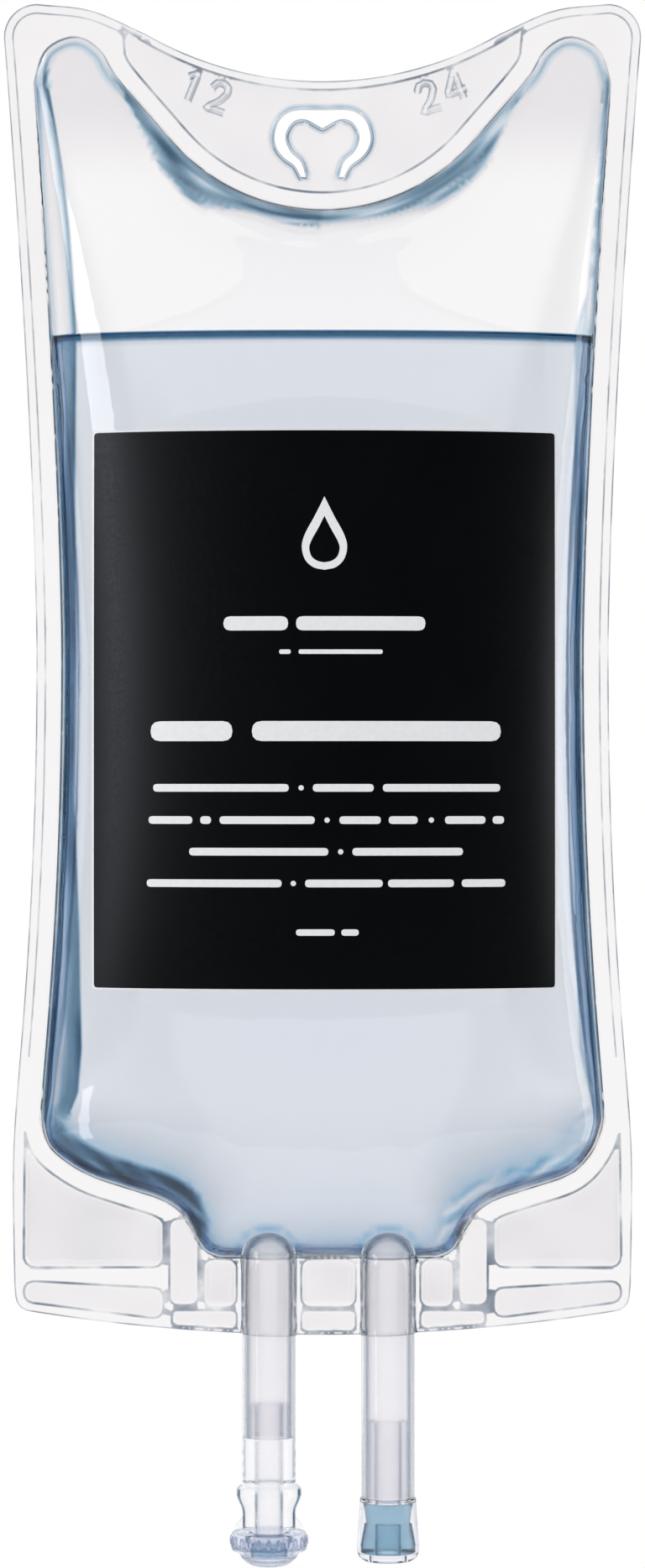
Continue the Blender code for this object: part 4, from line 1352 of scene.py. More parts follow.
    def shaped(self) -> Array:
        """Works out the height of the film's inner face from the mid plane.

        Returns:
            The height at each point.
        """
        s = self.sizes
        p = self.points
        soft = 0.003
        sag = np.maximum(self.sag(), 0)
        pillow = s.belly_half_depth * (np.sqrt(sag + soft) - math.sqrt(soft)) / (
            math.sqrt(1 + soft) - math.sqrt(soft))
        pillow += self.puckers(pillow)
        pillow[~self.in_chamber] = 0
        self.pillow = np.maximum(pillow, 0)
        above = np.maximum(p[:, 1] - s.chamber_bottom_z, 0)
        pipe = np.zeros(len(p))
        for x in s.tube_xs:
            square = s.pipe_r**2 - (p[:, 0] - x) ** 2 - above**2
            pipe = np.maximum(pipe, np.sqrt(np.maximum(square, 0)))
        pipe[pipe < 0.01 * MM] = 0
        self.pipe = pipe
        panel = np.zeros(len(p))
        for path, gap, (puff, reach) in zip(self.panels, self.from_panels, self.puffs):
            within = inside(path, p)
            rise = s.panel_rise * smooth_step(0, s.panel_bevel, gap)
            panel[within] = (rise + puff * (1 - np.exp(-gap / reach)))[within]
        self.panel = panel
        blend = 0.9 * MM
        top = np.maximum(self.pillow, pipe)
        both = (self.pillow > 0) & (pipe > 0)
        near = np.maximum(blend - abs(self.pillow - pipe), 0) / blend
        top = top + np.where(both, near**2 * blend / 4, 0)
        return np.maximum(top, panel)

    def puckers(self, pillow: Array) -> Array:
        """Gives the small folds that run beside the seal, strongest under the concave top.

        Args:
            pillow: the smooth filled height.

        Returns:
            What the folds add to it.
        """
        p, d = self.points, self.depth
        drift = wander(p, 16 * MM, 3.1)
        fine = wander(p, 5 * MM, 7.7)
        phase = math.tau * d / (2.9 * MM) + 2.4 * drift + 0.25 * fine
        fade = smooth_step(0.3 * MM, 1.6 * MM, d) * np.exp(-d / (3.4 * MM))
        strength = 0.09 * MM * (0.55 + 0.45 * wander(p, 22 * MM, 1.3))
        folds = strength * np.cos(phase) * fade
        near_top = np.exp(-((self.from_top - 2.6 * MM) / (2.2 * MM)) ** 2)
        near_top *= smooth_step(34 * MM, 20 * MM, abs(p[:, 0])) * (self.depth > 0)
        folds += near_top * (0.30 + 0.22 * fine) * MM * np.cos(math.tau * self.from_top / (4.2 * MM) + drift)
        base_z = self.sizes.chamber_bottom_z
        low = smooth_step(base_z + 40 * MM, base_z + 12 * MM, p[:, 1])
        fan = np.arctan2(p[:, 1] - (base_z - 20 * MM), p[:, 0] - self.sizes.port_centre_x)
        ripple = np.cos(fan * 26 + 1.5 * drift) * smooth_step(2 * MM, 9 * MM, d)
        folds += 0.05 * MM * low * ripple
        folds += 0.06 * MM * wander(p, 30 * MM, 5.9) * smooth_step(3 * MM, 12 * MM, d)
        return np.minimum(folds, pillow * 0.5)

    def ridges(self) -> Array:
        """Gives the extra thickness of the film's outer face along seams and pressed lines.

        Returns:
            The extra thickness at each point.
        """
        s = self.sizes
        p, d = self.points, self.depth
        extra = 0.16 * MM * bump(self.from_outline - 0.45 * MM, 0.28 * MM)
        extra += 0.10 * MM * bump(self.from_outline - 1.35 * MM, 0.22 * MM)
        extra += 0.20 * MM * bump(d + 0.35 * MM, 0.25 * MM)
        extra += 0.10 * MM * bump(d + 1.5 * MM, 0.25 * MM)
        extra += 0.42 * MM * bump(self.from_slot - 0.35 * MM, 0.4 * MM)
        extra += 0.34 * MM * bump(self.from_numbers, 0.38 * MM)
        for gap in self.from_panels:
            extra += 0.12 * MM * bump(gap - 0.2 * MM, 0.25 * MM)
        on_pipe = smooth_step(0.5 * MM, 2.0 * MM, self.pipe) * (p[:, 1] < s.chamber_bottom_z)
        for z in (-182.6, -188.6, -189.2, -192.6):
            extra += 0.12 * MM * bump(p[:, 1] - z * MM, 0.22 * MM) * on_pipe
        hinge = bump(p[:, 1] + 10.8 * MM, 0.3 * MM) * (abs(p[:, 0]) < 2.4 * MM)
        extra -= 0.12 * MM * hinge
        return extra

    def skin(self, side: int, height: Array) -> tuple[Array, Array]:
        """Lifts the layout to one side.

        Args:
            side: -1 for the front, 1 for the back.
            height: distance from the mid plane at each point.

        Returns:
            (n, 3) points and their outward normals.
        """
        p = self.points
        verts = np.column_stack([p[:, 0], side * height, p[:, 1]])
        return verts, outward_normals(verts, self.faces, side)

    def within(self, *loops: Path, below: float | None = None, domes: bool = False) -> Array:
        """Picks faces of the layout.

        Args:
            loops: outlines that a face lies inside.
            below: a height that it lies under.
            domes: whether faces over the tubes' tops are left out.

        Returns:
            (m, 3) faces.
        """
        middles = self.points[self.faces].mean(axis=1)
        keep = np.ones(len(self.faces), bool)
        for loop in loops:
            keep &= inside(loop, middles)
        if below is not None:
            keep &= middles[:, 1] < below
        if domes:
            for x in self.sizes.tube_xs:
                away = np.linalg.norm(middles - np.array((x, self.sizes.chamber_bottom_z)), axis=1)
                keep &= away > self.sizes.pipe_r + self.sizes.dome_gap
        return self.faces[keep]


# The bag


@dataclass(frozen=True)
class PaintedShade:
    """Painted shade where the films and the fluid look deeper: flanks, folds, base, surface line, domes,
    lobes and the slot's edge; also the seal's grey tone and the distances to the seams.
    """

    layout: FilmLayout
    crescent_end: float = 33.5 * MM
    line_depth: float = 1.1 * MM

    def flank_places(self) -> tuple[Array, Array]:
        """Measures each point against its flank's steep line.

        Returns:
            How far outside the line it is, and the share of the way from there to the seal.
        """
        x, z = self.layout.points.T
        limits = []
        for line in (self.layout.sizes.left_flank, self.layout.sizes.right_flank):
            heights, widths = np.array(line).T * MM
            limits.append(np.interp(z, heights, widths))
        outside = abs(x) - np.where(x < 0, *limits)
        width = np.maximum(outside + self.layout.depth, 0.4 * MM)
        return outside, np.clip(outside / width, 0, 1)

    def low_streaks(self) -> Array:
        """Returns streaks in the base's painted shade that run down along the base's curves towards the
        ports.
        """
        x, z = self.layout.points.T
        along, across = abs(x) * 0.80 + z * 0.60, z * 0.80 - abs(x) * 0.60
        return wander(np.column_stack([along, across * 6.5]), 8 * MM, 9.3)

    def base_band(self) -> tuple[Array, Array]:
        """Gives the band of painted shade along the chamber's base.

        Returns:
            Its share at each point, and the soft painted shade beyond it.
        """
        lay = self.layout
        x, z = lay.points.T
        wide = 2.6 + 2.4 * smooth_step(15 * MM, 21 * MM, abs(x)) - 1.6 * smooth_step(38 * MM, 44 * MM, abs(x))
        wide = (wide + 0.3 * wander(lay.points, 7 * MM, 6.6)) * MM
        low = smooth_step(-154 * MM, -162 * MM, z) * (lay.depth > 0)
        soft_rim = np.where(abs(x) < 18 * MM, 2.4, 1.2) * MM
        band = smooth_step(wide, wide - soft_rim, lay.depth) * smooth_step(0.2 * MM, 0.8 * MM, lay.depth)
        soft = np.exp(-np.maximum(lay.depth - wide, 0) / (5.0 * MM)) * (1 - band)
        return band * low, soft * low

    def crescent(self) -> Array:
        """Returns the share of painted shade in the dark crescent of folds under the concave top."""
        lay, s = self.layout, self.layout.sizes
        x, z = lay.points.T
        u = lay.from_top
        turn = np.arctan2(x, s.chamber_top_z + s.chamber_top_r - z) * s.chamber_top_r
        streak = wander(np.column_stack([turn, u * 8]), 9 * MM, 2.2)
        drift = wander(np.column_stack([turn, u * 0]), 7 * MM, 8.4)
        wide = (3.1 + 2.5 * np.exp(-((abs(x) - 20.5 * MM) / (6 * MM)) ** 2) + 0.5 * drift) * MM
        wide *= 0.25 + 0.75 * smooth_step(self.crescent_end, 25 * MM, abs(x))
        soft = np.where(x < 0, 0.82, 0.6)
        share = smooth_step(1.0, soft, u / wide) * smooth_step(0.1 * MM, 0.5 * MM, u) * (lay.depth > 0)
        share *= smooth_step(self.crescent_end + 1.5 * MM, self.crescent_end - 3 * MM, abs(x))
        return share * (0.62 + 0.42 * streak) * np.where(x < 0, 1, 0.85) * (u < 9 * MM)

    def surface_line(self) -> Array:
        """Returns the share of painted shade in the dark line along the fluid's surface."""
        z, top = self.layout.points[:, 1], self.layout.sizes.fluid_z
        line = smooth_step(top - self.line_depth - 0.35 * MM, top - self.line_depth + 0.2 * MM, z)
        return line * (z < top + 0.1 * MM) * (self.layout.depth > 0)

    def film(self) -> Array:
        """Gives the film's painted shade, where refraction and grazing reflection darken it, with the seal's
        grey tone added.

        Returns:
            A share from 0 to 1 at each point.
        """
        lay, s = self.layout, self.layout.sizes
        x, z = lay.points.T
        d = lay.depth
        # Painted shade on the flanks: below the fluid's level it stands for refraction, above it for grazing
        # reflection
        outside, share = self.flank_places()
        runs = wander(np.column_stack([d * 8, z]), 9 * MM, 5.5)
        deep = 0.80 - 0.40 * share + 0.12 * runs + 0.25 * bump(share - 0.93, 0.07)
        deep -= 0.45 * bump(share - 0.62, 0.13) * smooth_step(2.6 * MM, 3.4 * MM, outside + d)
        paler = 0.50 - 0.12 * share + 0.12 * runs - 0.42 * bump(share - 0.55, 0.16) * (
            smooth_step(-64 * MM, -52 * MM, z) + smooth_step(-122 * MM, -136 * MM, z))
        wet = np.where(x < 0, deep, paler)
        dry_left = 0.60 * bump(outside - 0.4 * MM, 0.42 * MM) + 0.20 * (1 - share)
        dry_left += 0.45 * bump(share - 0.85, 0.09)
        dry_right = 0.24 + 0.50 * bump(share - 0.78, 0.13) + 0.18 * runs
        dry = np.where(x < 0, dry_left, dry_right) * smooth_step(9 * MM, 3 * MM, z)
        flank = np.where(z < s.fluid_z, wet, dry) * smooth_step(*s.flank_edge, outside)
        flank *= smooth_step(30 * MM, 35 * MM, abs(x)) * (d > 0) * smooth_step(-164 * MM, -156 * MM, z)
        band, soft = self.base_band()
        streak = self.low_streaks()
        middle = smooth_step(20 * MM, 14 * MM, abs(x))
        left_low = 0.76 + 0.30 * streak
        right_low = (0.12 + 0.36 * streak) * smooth_step(0.4 * MM, 1.8 * MM, d)
        low = band * np.where(x < 0, left_low, right_low) * (1 - middle) + band * 0.14 * middle + 0.22 * soft
        dome = 0.38 * bump(lay.from_domes - 0.6 * MM, 0.7 * MM) * (d > 0)
        lobe = 0.12 * smooth_step(-14 * MM, 2 * MM, z) * (d > 0) * smooth_step(18 * MM, 30 * MM, abs(x))
        lobe += 0.30 * bump(d - 1.3 * MM, 0.35 * MM) * smooth_step(1 * MM, 5 * MM, z)
        slot = 0.45 * bump(lay.from_slot - 0.2 * MM, 0.28 * MM)
        slot *= 0.75 + 0.35 * wander(lay.points, 3 * MM, 1.9)
        # A grey tone on the seal outside the chamber, deeper on raised panels and towards the top, varied at
        # random
        cloud = wander(lay.points, 8 * MM, 7.2)
        raised = smooth_step(0.15 * MM, 0.3 * MM, lay.panel)
        raised += 0.8 * smooth_step(0.4 * MM, 0.6 * MM, lay.panel)
        upper = 0.4 * smooth_step(-60 * MM, -20 * MM, z)
        welded = (np.maximum(raised, upper) * (0.054 + 0.02 * cloud) + 0.01) * (d <= 0)
        line = 0.80 * self.surface_line()
        deepest = np.maximum.reduce([flank, low, dome, line, self.crescent()])
        return np.clip(deepest + lobe + slot + welded, 0, 1)

    def fluid(self) -> Array:
        """Gives the fluid's painted blue shade, where refraction darkens its flanks, base, dome arcs and
        surface line.

        Returns:
            A share from 0 to 1 at each point.
        """
        lay = self.layout
        x, _ = lay.points.T
        outside, _ = self.flank_places()
        band, soft = self.base_band()
        flank = 0.34 * smooth_step(-0.3 * MM, 0.8 * MM, outside)
        sides = np.where(x < 0, 0.6, 0.72 + 0.55 * self.low_streaks())
        middle = smooth_step(20 * MM, 14 * MM, abs(x))
        low = band * (sides * (1 - middle) + 0.9 * middle) + 0.55 * soft
        dome = 0.8 * bump(lay.from_domes - 0.6 * MM, 1.2 * MM)
        return np.clip(np.maximum.reduce([flank, low, dome, 0.6 * self.surface_line()]), 0, 0.95)

    def drawn(self) -> Array:
        """Gives each point's distance in millimetres from the nearest seam, edge or pressed line."""
        lay = self.layout
        x, z = lay.points.T
        rim = np.where((abs(x) > 31 * MM) & (z > -150 * MM), abs(lay.from_outline - 1.5 * MM), 1.0)
        hood = np.where(z > 1 * MM, abs(lay.depth - 1.3 * MM), 1.0)
        near = [lay.from_outline, lay.from_chamber, lay.from_slot, rim, hood,
                abs(lay.from_numbers - 0.36 * MM), *lay.from_panels]
        return np.minimum.reduce(near) / MM


@dataclass(frozen=True)
class FilmPair:
    """The front and back films, thermoformed alike and welded around the chamber."""

    layout: FilmLayout
    tones: PaintedShade
    finish: bpy.types.Material
    gap: float = 0.015 * MM
    back_share: float = 0.15

    def build(self, name: str, side: int) -> bpy.types.Object:
        """Makes one film as a closed body.

        Args:
            name: the piece's name.
            side: -1 for the front, 1 for the back.

        Returns:
            The film.
        """
        lay = self.layout
        inner, normals = lay.skin(side, lay.height + self.gap)
        outer = inner + normals * (lay.sizes.film_t * 0.85 + lay.ridges())[:, None]
        count = len(inner)
        faces = lay.faces
        a, b, c = (inner[faces[:, k]] for k in range(3))
        outward = np.cross(b - a, c - a)[:, 1] * side > 0
        out_faces = np.where(outward[:, None], faces, faces[:, ::-1])
        rim = rim_edges(out_faces)
        quads = [(j, i, i + count, j + count) for i, j in rim]
        whole = [tuple(f[::-1]) for f in out_faces]
        whole += [tuple(f + count) for f in out_faces]
        whole += quads
        film = object_from(name, np.vstack([inner, outer]), whole, [self.finish], crease_deg=60)
        # Painted shade lies on the front film in full and on the back film in a share
        share = 1.0 if side < 0 else self.back_share
        add_attribute(film, "painted_shade", np.tile(self.tones.film() * share, 2))
        add_attribute(film, "drawn", np.tile(self.tones.drawn(), 2))
        return film


@dataclass(frozen=True)
class FluidFill:
    """The fluid: it wets both films, ends level below the headspace and leaves the tubes' tops free."""

    layout: FilmLayout
    tones: PaintedShade
    finish: bpy.types.Material
    gap: float = 0.03 * MM
    back_share: float = 0.25
    meniscus: float = 0.7 * MM
    cling: float = 1.3 * MM
    surface_rows: int = 28

    def build(self) -> bpy.types.Object:
        """Makes the fluid as one closed body.

        Returns:
            The fluid.
        """
        lay, s = self.layout, self.layout.sizes
        faces = lay.within(lay.fluid, below=s.fluid_z, domes=True)
        used, faces = compact(faces)
        p = lay.points[used]
        height = lay.height[used]
        verts = []
        for side in (-1, 1):
            skin = np.column_stack([p[:, 0], side * height, p[:, 1]])
            skin -= outward_normals(skin, faces, side) * self.gap
            level = abs(p[:, 1] - s.fluid_z) < 10 * WELD
            skin[level, 2] = s.fluid_z
            verts.append(skin)
        count = len(p)
        front = anticlockwise_faces(p, faces)
        points =[tuple(v) for v in np.vstack(verts)]
        whole = [tuple(f) for f in front] + [tuple(f[::-1] + count) for f in front]
        rows: dict[int, list[int]] = {}
        # Painted blue shade on the fluid's points, in full on the front skin and as a share on the back
        shade_share = self.tones.fluid()[used]
        flank = list(np.concatenate([shade_share, shade_share * self.back_share]))
        for i, j in rim_edges(front):
            level = max(abs(p[i, 1] - s.fluid_z), abs(p[j, 1] - s.fluid_z)) < 10 * WELD
            steps = self.surface_rows if level else 1
            for k in (i, j):
                if level and k not in rows:
                    rows[k] = self.surface_row(points, verts[0][k], verts[1][k], k, k + count)
                    flank += [0.0] * (self.surface_rows - 1)
            line_i = rows[i] if level else [i, i + count]
            line_j = rows[j] if level else [j, j + count]
            whole += [(line_j[n], line_i[n], line_i[n + 1], line_j[n + 1]) for n in range(steps)]
        fluid = faced_outwards(object_from("solution_fill", np.array(points), whole, [self.finish],
                                           crease_deg=50))
        add_attribute(fluid, "flank", np.array(flank))
        return fluid

    def surface_row(self, points: list, front: Array, back: Array, first: int,
                    last: int) -> list[int]:
        """Adds the points of one line across the fluid's surface, which climbs at both films.

        Args:
            points: the fluid's points, which grow.
            front: the line's front end.
            back: its back end.
            first: the number of the front end.
            last: the number of the back end.

        Returns:
            The numbers of the line's points, front to back.
        """
        row = [first]
        span = abs(back[1] - front[1])
        for share in (np.arange(1, self.surface_rows) / self.surface_rows):
            eased = 0.5 - 0.5 * math.cos(math.pi * share)
            away = min(eased, 1 - eased) * span
            drop = self.meniscus * (1 - math.exp(-away / self.cling)) * min(1.0, span / (4 * MM))
            point = front + (back - front) * eased
            points.append((point[0], point[1], point[2] - drop))
            row.append(len(points) - 1)
        return row + [last]


@dataclass(frozen=True)
class FrontLabel:
    """The stuck-on label: white stock, satin black print, plain white bars for the words."""

    layout: FilmLayout
    black: bpy.types.Material
    white: bpy.types.Material
    ink: bpy.types.Material

    def build(self) -> bpy.types.Object:
        """Makes the label on the front film's outer face.

        Returns:
            The label.
        """
        lay, sizes = self.layout, self.layout.label_sizes
        inner, normals = lay.skin(-1, lay.height)
        under = inner + normals * (lay.sizes.film_t + sizes.lift)
        over = under + normals * sizes.thickness
        used, faces = compact(lay.within(lay.label))
        p = lay.points[used]
        front = anticlockwise_faces(p, faces)
        middles = p[faces].mean(axis=1)
        slots = np.where(inside(lay.label_inner, middles), 0, 1)
        for shape in lay.prints:
            slots[inside(shape, middles)] = 2
        slots[inside(lay.drop_core, middles)] = 0
        count = len(p)
        quads = [(j, i, i + count, j + count) for i, j in rim_edges(front)]
        whole = [tuple(f) for f in front] + [tuple(f[::-1] + count) for f in front] + quads
        slots = np.concatenate([slots, np.ones(len(faces) + len(quads))])
        verts = np.vstack([over[used], under[used]])
        return object_from("front_label", verts, whole, [self.black, self.white, self.ink], slots, 45)


# Ports


@dataclass(frozen=True)
class PortTube:
    """A port tube: a domed top between the films and a bore open below."""

    x: float
    end_z: float
    radius: float = 4.2 * MM
    wall: float = 1.0 * MM
    top_z: float = -181.2 * MM
    rings: tuple = (7.4 * MM,)

    def build(self, name: str, finish: bpy.types.Material) -> bpy.types.Object:
        """Makes the tube.

        Args:
            name: the piece's name.
            finish: its material.

        Returns:
            The tube.
        """
        length = self.top_z - self.end_z
        bore = self.radius - self.wall
        angles = np.radians(np.linspace(90, 0, 17))
        outer = [(self.radius * math.cos(a), self.radius * math.sin(a), 0) for a in angles]
        outer[0] = (0, self.radius, 0)
        for down in self.rings:
            outer += [(self.radius, -down + 0.35 * MM, 0), (self.radius + 0.07 * MM, -down, 0.1 * MM),
                      (self.radius, -down - 0.35 * MM, 0)]
        outer.append((self.radius, -length, 0.2 * MM))
        inner = [(bore * math.cos(a), bore * math.sin(a), 0) for a in angles[::-1]]
        inner[-1] = (0, bore, 0)
        profile = outer + [(bore, -length, 0.15 * MM)] + inner
        tube = Turning().turn(name, profile, self.x, self.top_z, finish, crease_deg=50)
        mark_bore(tube, self.x, bore + 0.01 * MM, self.top_z + bore + 0.01 * MM)
        return tube


@dataclass(frozen=True)
class SpikeFitting:
    """The connector in the left tube's end, its rubber disc and its pull-off cap."""

    x: float
    tube_end_z: float = -209.6 * MM
    tube_r: float = 4.2 * MM
    bore_r: float = 1.85 * MM
    flange_r: float = 5.2 * MM
    flange_top_z: float = -217.4 * MM
    flange_height: float = 2.1 * MM
    flange_taper: float = 1.6 * MM
    neck_end_z: float = -224.2 * MM
    mouth_r: float = 3.2 * MM
    mouth_end_z: float = -228.1 * MM
    fin_reach: float = 5.3 * MM
    fin_t: float = 0.8 * MM
    fin_height: float = 2.5 * MM
    disc_r: float = 2.25 * MM
    disc_t: float = 1.7 * MM
    cap_r: float = 6.15 * MM
    cap_top_z: float = -224.5 * MM
    cap_rim: float = 2.9 * MM
    cap_bottom_z: float = -230.1 * MM
    cap_dome_r: float = 4.7 * MM
    cap_tip_r: float = 2.2 * MM
    cap_bore_r: float = 3.55 * MM
    rib_count: int = 24

    def connector(self, finish: bpy.types.Material) -> bpy.types.Object:
        """Returns the clear connector with its bead and two fins."""
        z, r = self.tube_end_z, self.tube_r
        spigot, length = 2.95 * MM, 5.6 * MM
        top, high = self.flange_top_z, self.flange_height
        seat = self.mouth_end_z + self.disc_t + 0.1 * MM
        seat_r = self.disc_r + 0.05 * MM
        outer = [
            (spigot - 0.2 * MM, z + length, 0.1 * MM), (spigot, z + length - 0.5 * MM, 0.1 * MM),
            (spigot, z, 0.05 * MM), (r, z, 0.3 * MM), (r, top + 0.35 * MM, 0.4 * MM),
            (self.flange_r - 0.25 * MM, top - 0.05 * MM, 0.4 * MM),
            (self.flange_r, top - high * 0.5, 0.8 * MM),
            (self.flange_r - 0.3 * MM, top - high, 0.4 * MM),
            (r, top - high - self.flange_taper, 0.5 * MM), (r, self.neck_end_z, 0.15 * MM),
            (self.mouth_r, self.neck_end_z, 0.05 * MM), (self.mouth_r, self.mouth_end_z, 0.15 * MM),
        ]
        inner = [(seat_r, self.mouth_end_z, 0), (seat_r, seat, 0), (self.bore_r, seat, 0),
                 (self.bore_r, z + length, 0.1 * MM)]
        profile = [(a, b - z, c) for a, b, c in outer + inner]
        body = Turning().turn("spike_connector_clear", profile, self.x, z, finish, closed=True)
        for side in (-1, 1):
            body = self.with_fin(body, side)
        return body

    def with_fin(self, body: bpy.types.Object, side: int) -> bpy.types.Object:
        """Joins a thin flared fin to the neck.

        Args:
            body: the connector.
            side: -1 left, 1 right.

        Returns:
            The connector with the fin.
        """
        root = self.tube_r - 0.5 * MM
        z = self.neck_end_z
        outline = [(root, z + 0.02 * MM), (self.fin_reach, z + 0.02 * MM),
                   (self.fin_reach + 0.05 * MM, z + 0.5 * MM), (self.tube_r + 0.35 * MM, z + 1.5 * MM),
                   (root, z + self.fin_height)]
        fin = bmesh.new()
        verts = [fin.verts.new((self.x + side * a, -self.fin_t / 2, b)) for a, b in outline]
        face = fin.faces.new(verts)
        grown = bmesh.ops.extrude_face_region(fin, geom=[face])["geom"]
        moved = [v for v in grown if isinstance(v, bmesh.types.BMVert)]
        bmesh.ops.translate(fin, verts=moved, vec=(0, self.fin_t, 0))
        bmesh.ops.recalc_face_normals(fin, faces=fin.faces)
        bmesh.ops.bevel(fin, geom=list(fin.edges), offset=0.12 * MM, segments=2, affect="EDGES")
        mesh = bpy.data.meshes.new("fin")
        fin.to_mesh(mesh)
        fin.free()
        cutter = bpy.data.objects.new("fin", mesh)
        bpy.context.scene.collection.objects.link(cutter)
        union = body.modifiers.new("Fin", "BOOLEAN")
        union.operation, union.solver, union.object = "UNION", "EXACT", cutter
        result = applied(body)
        mark_bore(result, self.x, self.bore_r + 0.01 * MM, self.tube_end_z + 8 * MM)
        bpy.data.objects.remove(cutter, do_unlink=True)
        smoothed(result.data)
        return result

    def disc(self, finish: bpy.types.Material) -> bpy.types.Object:
        """Returns the rubber disc in the connector's mouth."""
        profile = [(0, 0, 0), (self.disc_r, 0, 0.15 * MM), (self.disc_r, -self.disc_t, 0.15 * MM),
                   (0, -self.disc_t, 0)]
        top = self.mouth_end_z + self.disc_t + 0.1 * MM
        return Turning().turn("spike_septum_rubber", profile, self.x, top, finish)

    def cap(self, finish: bpy.types.Material) -> bpy.types.Object:
        """Returns the pull-off cap with the ribs around its rim."""
        top = self.cap_top_z
        low = -self.cap_rim
        bottom = self.cap_bottom_z - top
        floor = self.mouth_end_z - 0.3 * MM - top
        r = self.cap_r - 0.16 * MM
        profile = [
            (self.cap_bore_r, 0, 0.15 * MM), (r - 0.05 * MM, 0, 0.7 * MM), (r, low, 0.5 * MM),
            (self.cap_dome_r, low - 0.45 * MM, 0.3 * MM),
            (self.cap_dome_r - 0.25 * MM, low + (bottom - low) * 0.45, 0.7 * MM),
            (self.cap_tip_r + 0.9 * MM, bottom + 0.35 * MM, 0.6 * MM),
            (self.cap_tip_r * 0.6, bottom, 0.5 * MM), (0, bottom, 0),
            (0, floor, 0), (self.cap_bore_r, floor, 0.15 * MM),
        ]
        body = Turning(steps=120).turn("spike_cap_lilac", profile, self.x, top, finish)
        return RimRibs(self.x, top - 0.55 * MM, r, self.cap_rim - 1.2 * MM, self.rib_count).join(body)


def applied(obj: bpy.types.Object) -> bpy.types.Object:
    """Turns an object's modifiers into its mesh.

    Args:
        obj: the object.

    Returns:
        A new object of the same name; the old one is removed.
    """
    name = obj.name
    graph = bpy.context.evaluated_depsgraph_get()
    mesh = bpy.data.meshes.new_from_object(obj.evaluated_get(graph))
    bpy.data.objects.remove(obj, do_unlink=True)
    made = bpy.data.objects.new(name, mesh)
    mesh.name = name
    bpy.context.scene.collection.objects.link(made)
    return made


class NodeTree(NodeGraph):
    """A Geometry Nodes tree with named number inputs, which ends in a plain mesh."""

    def __init__(self, name: str, inputs: dict[str, float]) -> None:
        """Starts the tree.

        Args:
            name: the tree's name.
            inputs: each input's name and its value.
        """
        super().__init__(bpy.data.node_groups.new(name, "GeometryNodeTree"))
        face = self.tree.interface
        face.new_socket("Geometry", in_out="INPUT", socket_type="NodeSocketGeometry")
        face.new_socket("Geometry", in_out="OUTPUT", socket_type="NodeSocketGeometry")
        self.values = inputs
        self.ids = {}
        for key in inputs:
            kind = "NodeSocketInt" if isinstance(inputs[key], int) else "NodeSocketFloat"
            self.ids[key] = face.new_socket(key, in_out="INPUT", socket_type=kind).identifier
        self.start = self.tree.nodes.new("NodeGroupInput")
        self.end = self.tree.nodes.new("NodeGroupOutput")

    def vector(self, x: object, y: object, z: object) -> Socket:
        """Returns a vector of three sockets or numbers."""
        return self.filled("ShaderNodeCombineXYZ", x, y, z)

    def run(self, obj: bpy.types.Object, geometry: Socket,
            finish: bpy.types.Material) -> bpy.types.Object:
        """Ends the tree, runs it on the object and makes the result a plain mesh.

        Args:
            obj: the object that carries the tree.
            geometry: what the tree makes.
            finish: the material that it sets.

        Returns:
            A new object with the result.
        """
        real = self.node("GeometryNodeRealizeInstances", Geometry=geometry)
        dressed = self.node("GeometryNodeSetMaterial", Geometry=real.outputs[0], Material=finish)
        self.feed(self.end.inputs[0], dressed.outputs[0])
        modifier = obj.modifiers.new(self.tree.name, "NODES")
        modifier.node_group = self.tree
        for key, identifier in self.ids.items():
            modifier[identifier] = self.values[key]
        return applied(obj)


@dataclass(frozen=True)
class RimRibs:
    """Grip ribs around a rim, made once and repeated around the axis."""

    x: float
    top_z: float
    radius: float
    length: float
    count: int

    def join(self, body: bpy.types.Object) -> bpy.types.Object:
        """Adds the ribs to a turned body.

        Args:
            body: the cap.

        Returns:
            The cap with its ribs.
        """
        tree = NodeTree("rim_ribs", {"Count": self.count, "Radius": self.radius,
                                     "Length": self.length, "Axis X": self.x, "Top Z": self.top_z})
        ins = tree.start.outputs
        rib = tree.node("GeometryNodeMeshUVSphere", Segments=10, Rings=8, Radius=1.0)
        half = tree.maths("MULTIPLY", ins["Length"], 0.5)
        shaped = tree.node("GeometryNodeTransform", Geometry=rib.outputs[0],
                           Scale=tree.vector(0.22 * MM, 0.42 * MM, half))
        ring = tree.node("GeometryNodeMeshCircle", fill_type="NONE", Vertices=ins["Count"],
                         Radius=ins["Radius"])
        position = tree.node("GeometryNodeInputPosition")
        aligned = tree.node("FunctionNodeAlignRotationToVector", axis="X", Vector=position.outputs[0])
        spread = tree.node("GeometryNodeInstanceOnPoints", Points=ring.outputs[0],
                           Instance=shaped.outputs[0], Rotation=aligned.outputs[0])
        middle = tree.maths("SUBTRACT", ins["Top Z"], half)
        placed = tree.node("GeometryNodeTransform", Geometry=spread.outputs[0],
                           Translation=tree.vector(ins["Axis X"], 0.0, middle))
        whole = tree.node("GeometryNodeJoinGeometry", Geometry=placed.outputs[0])
        tree.feed(whole.inputs[0], tree.start.outputs[0])
        made = tree.run(body, whole.outputs[0], body.data.materials[0])
        smoothed(made.data)
        return made


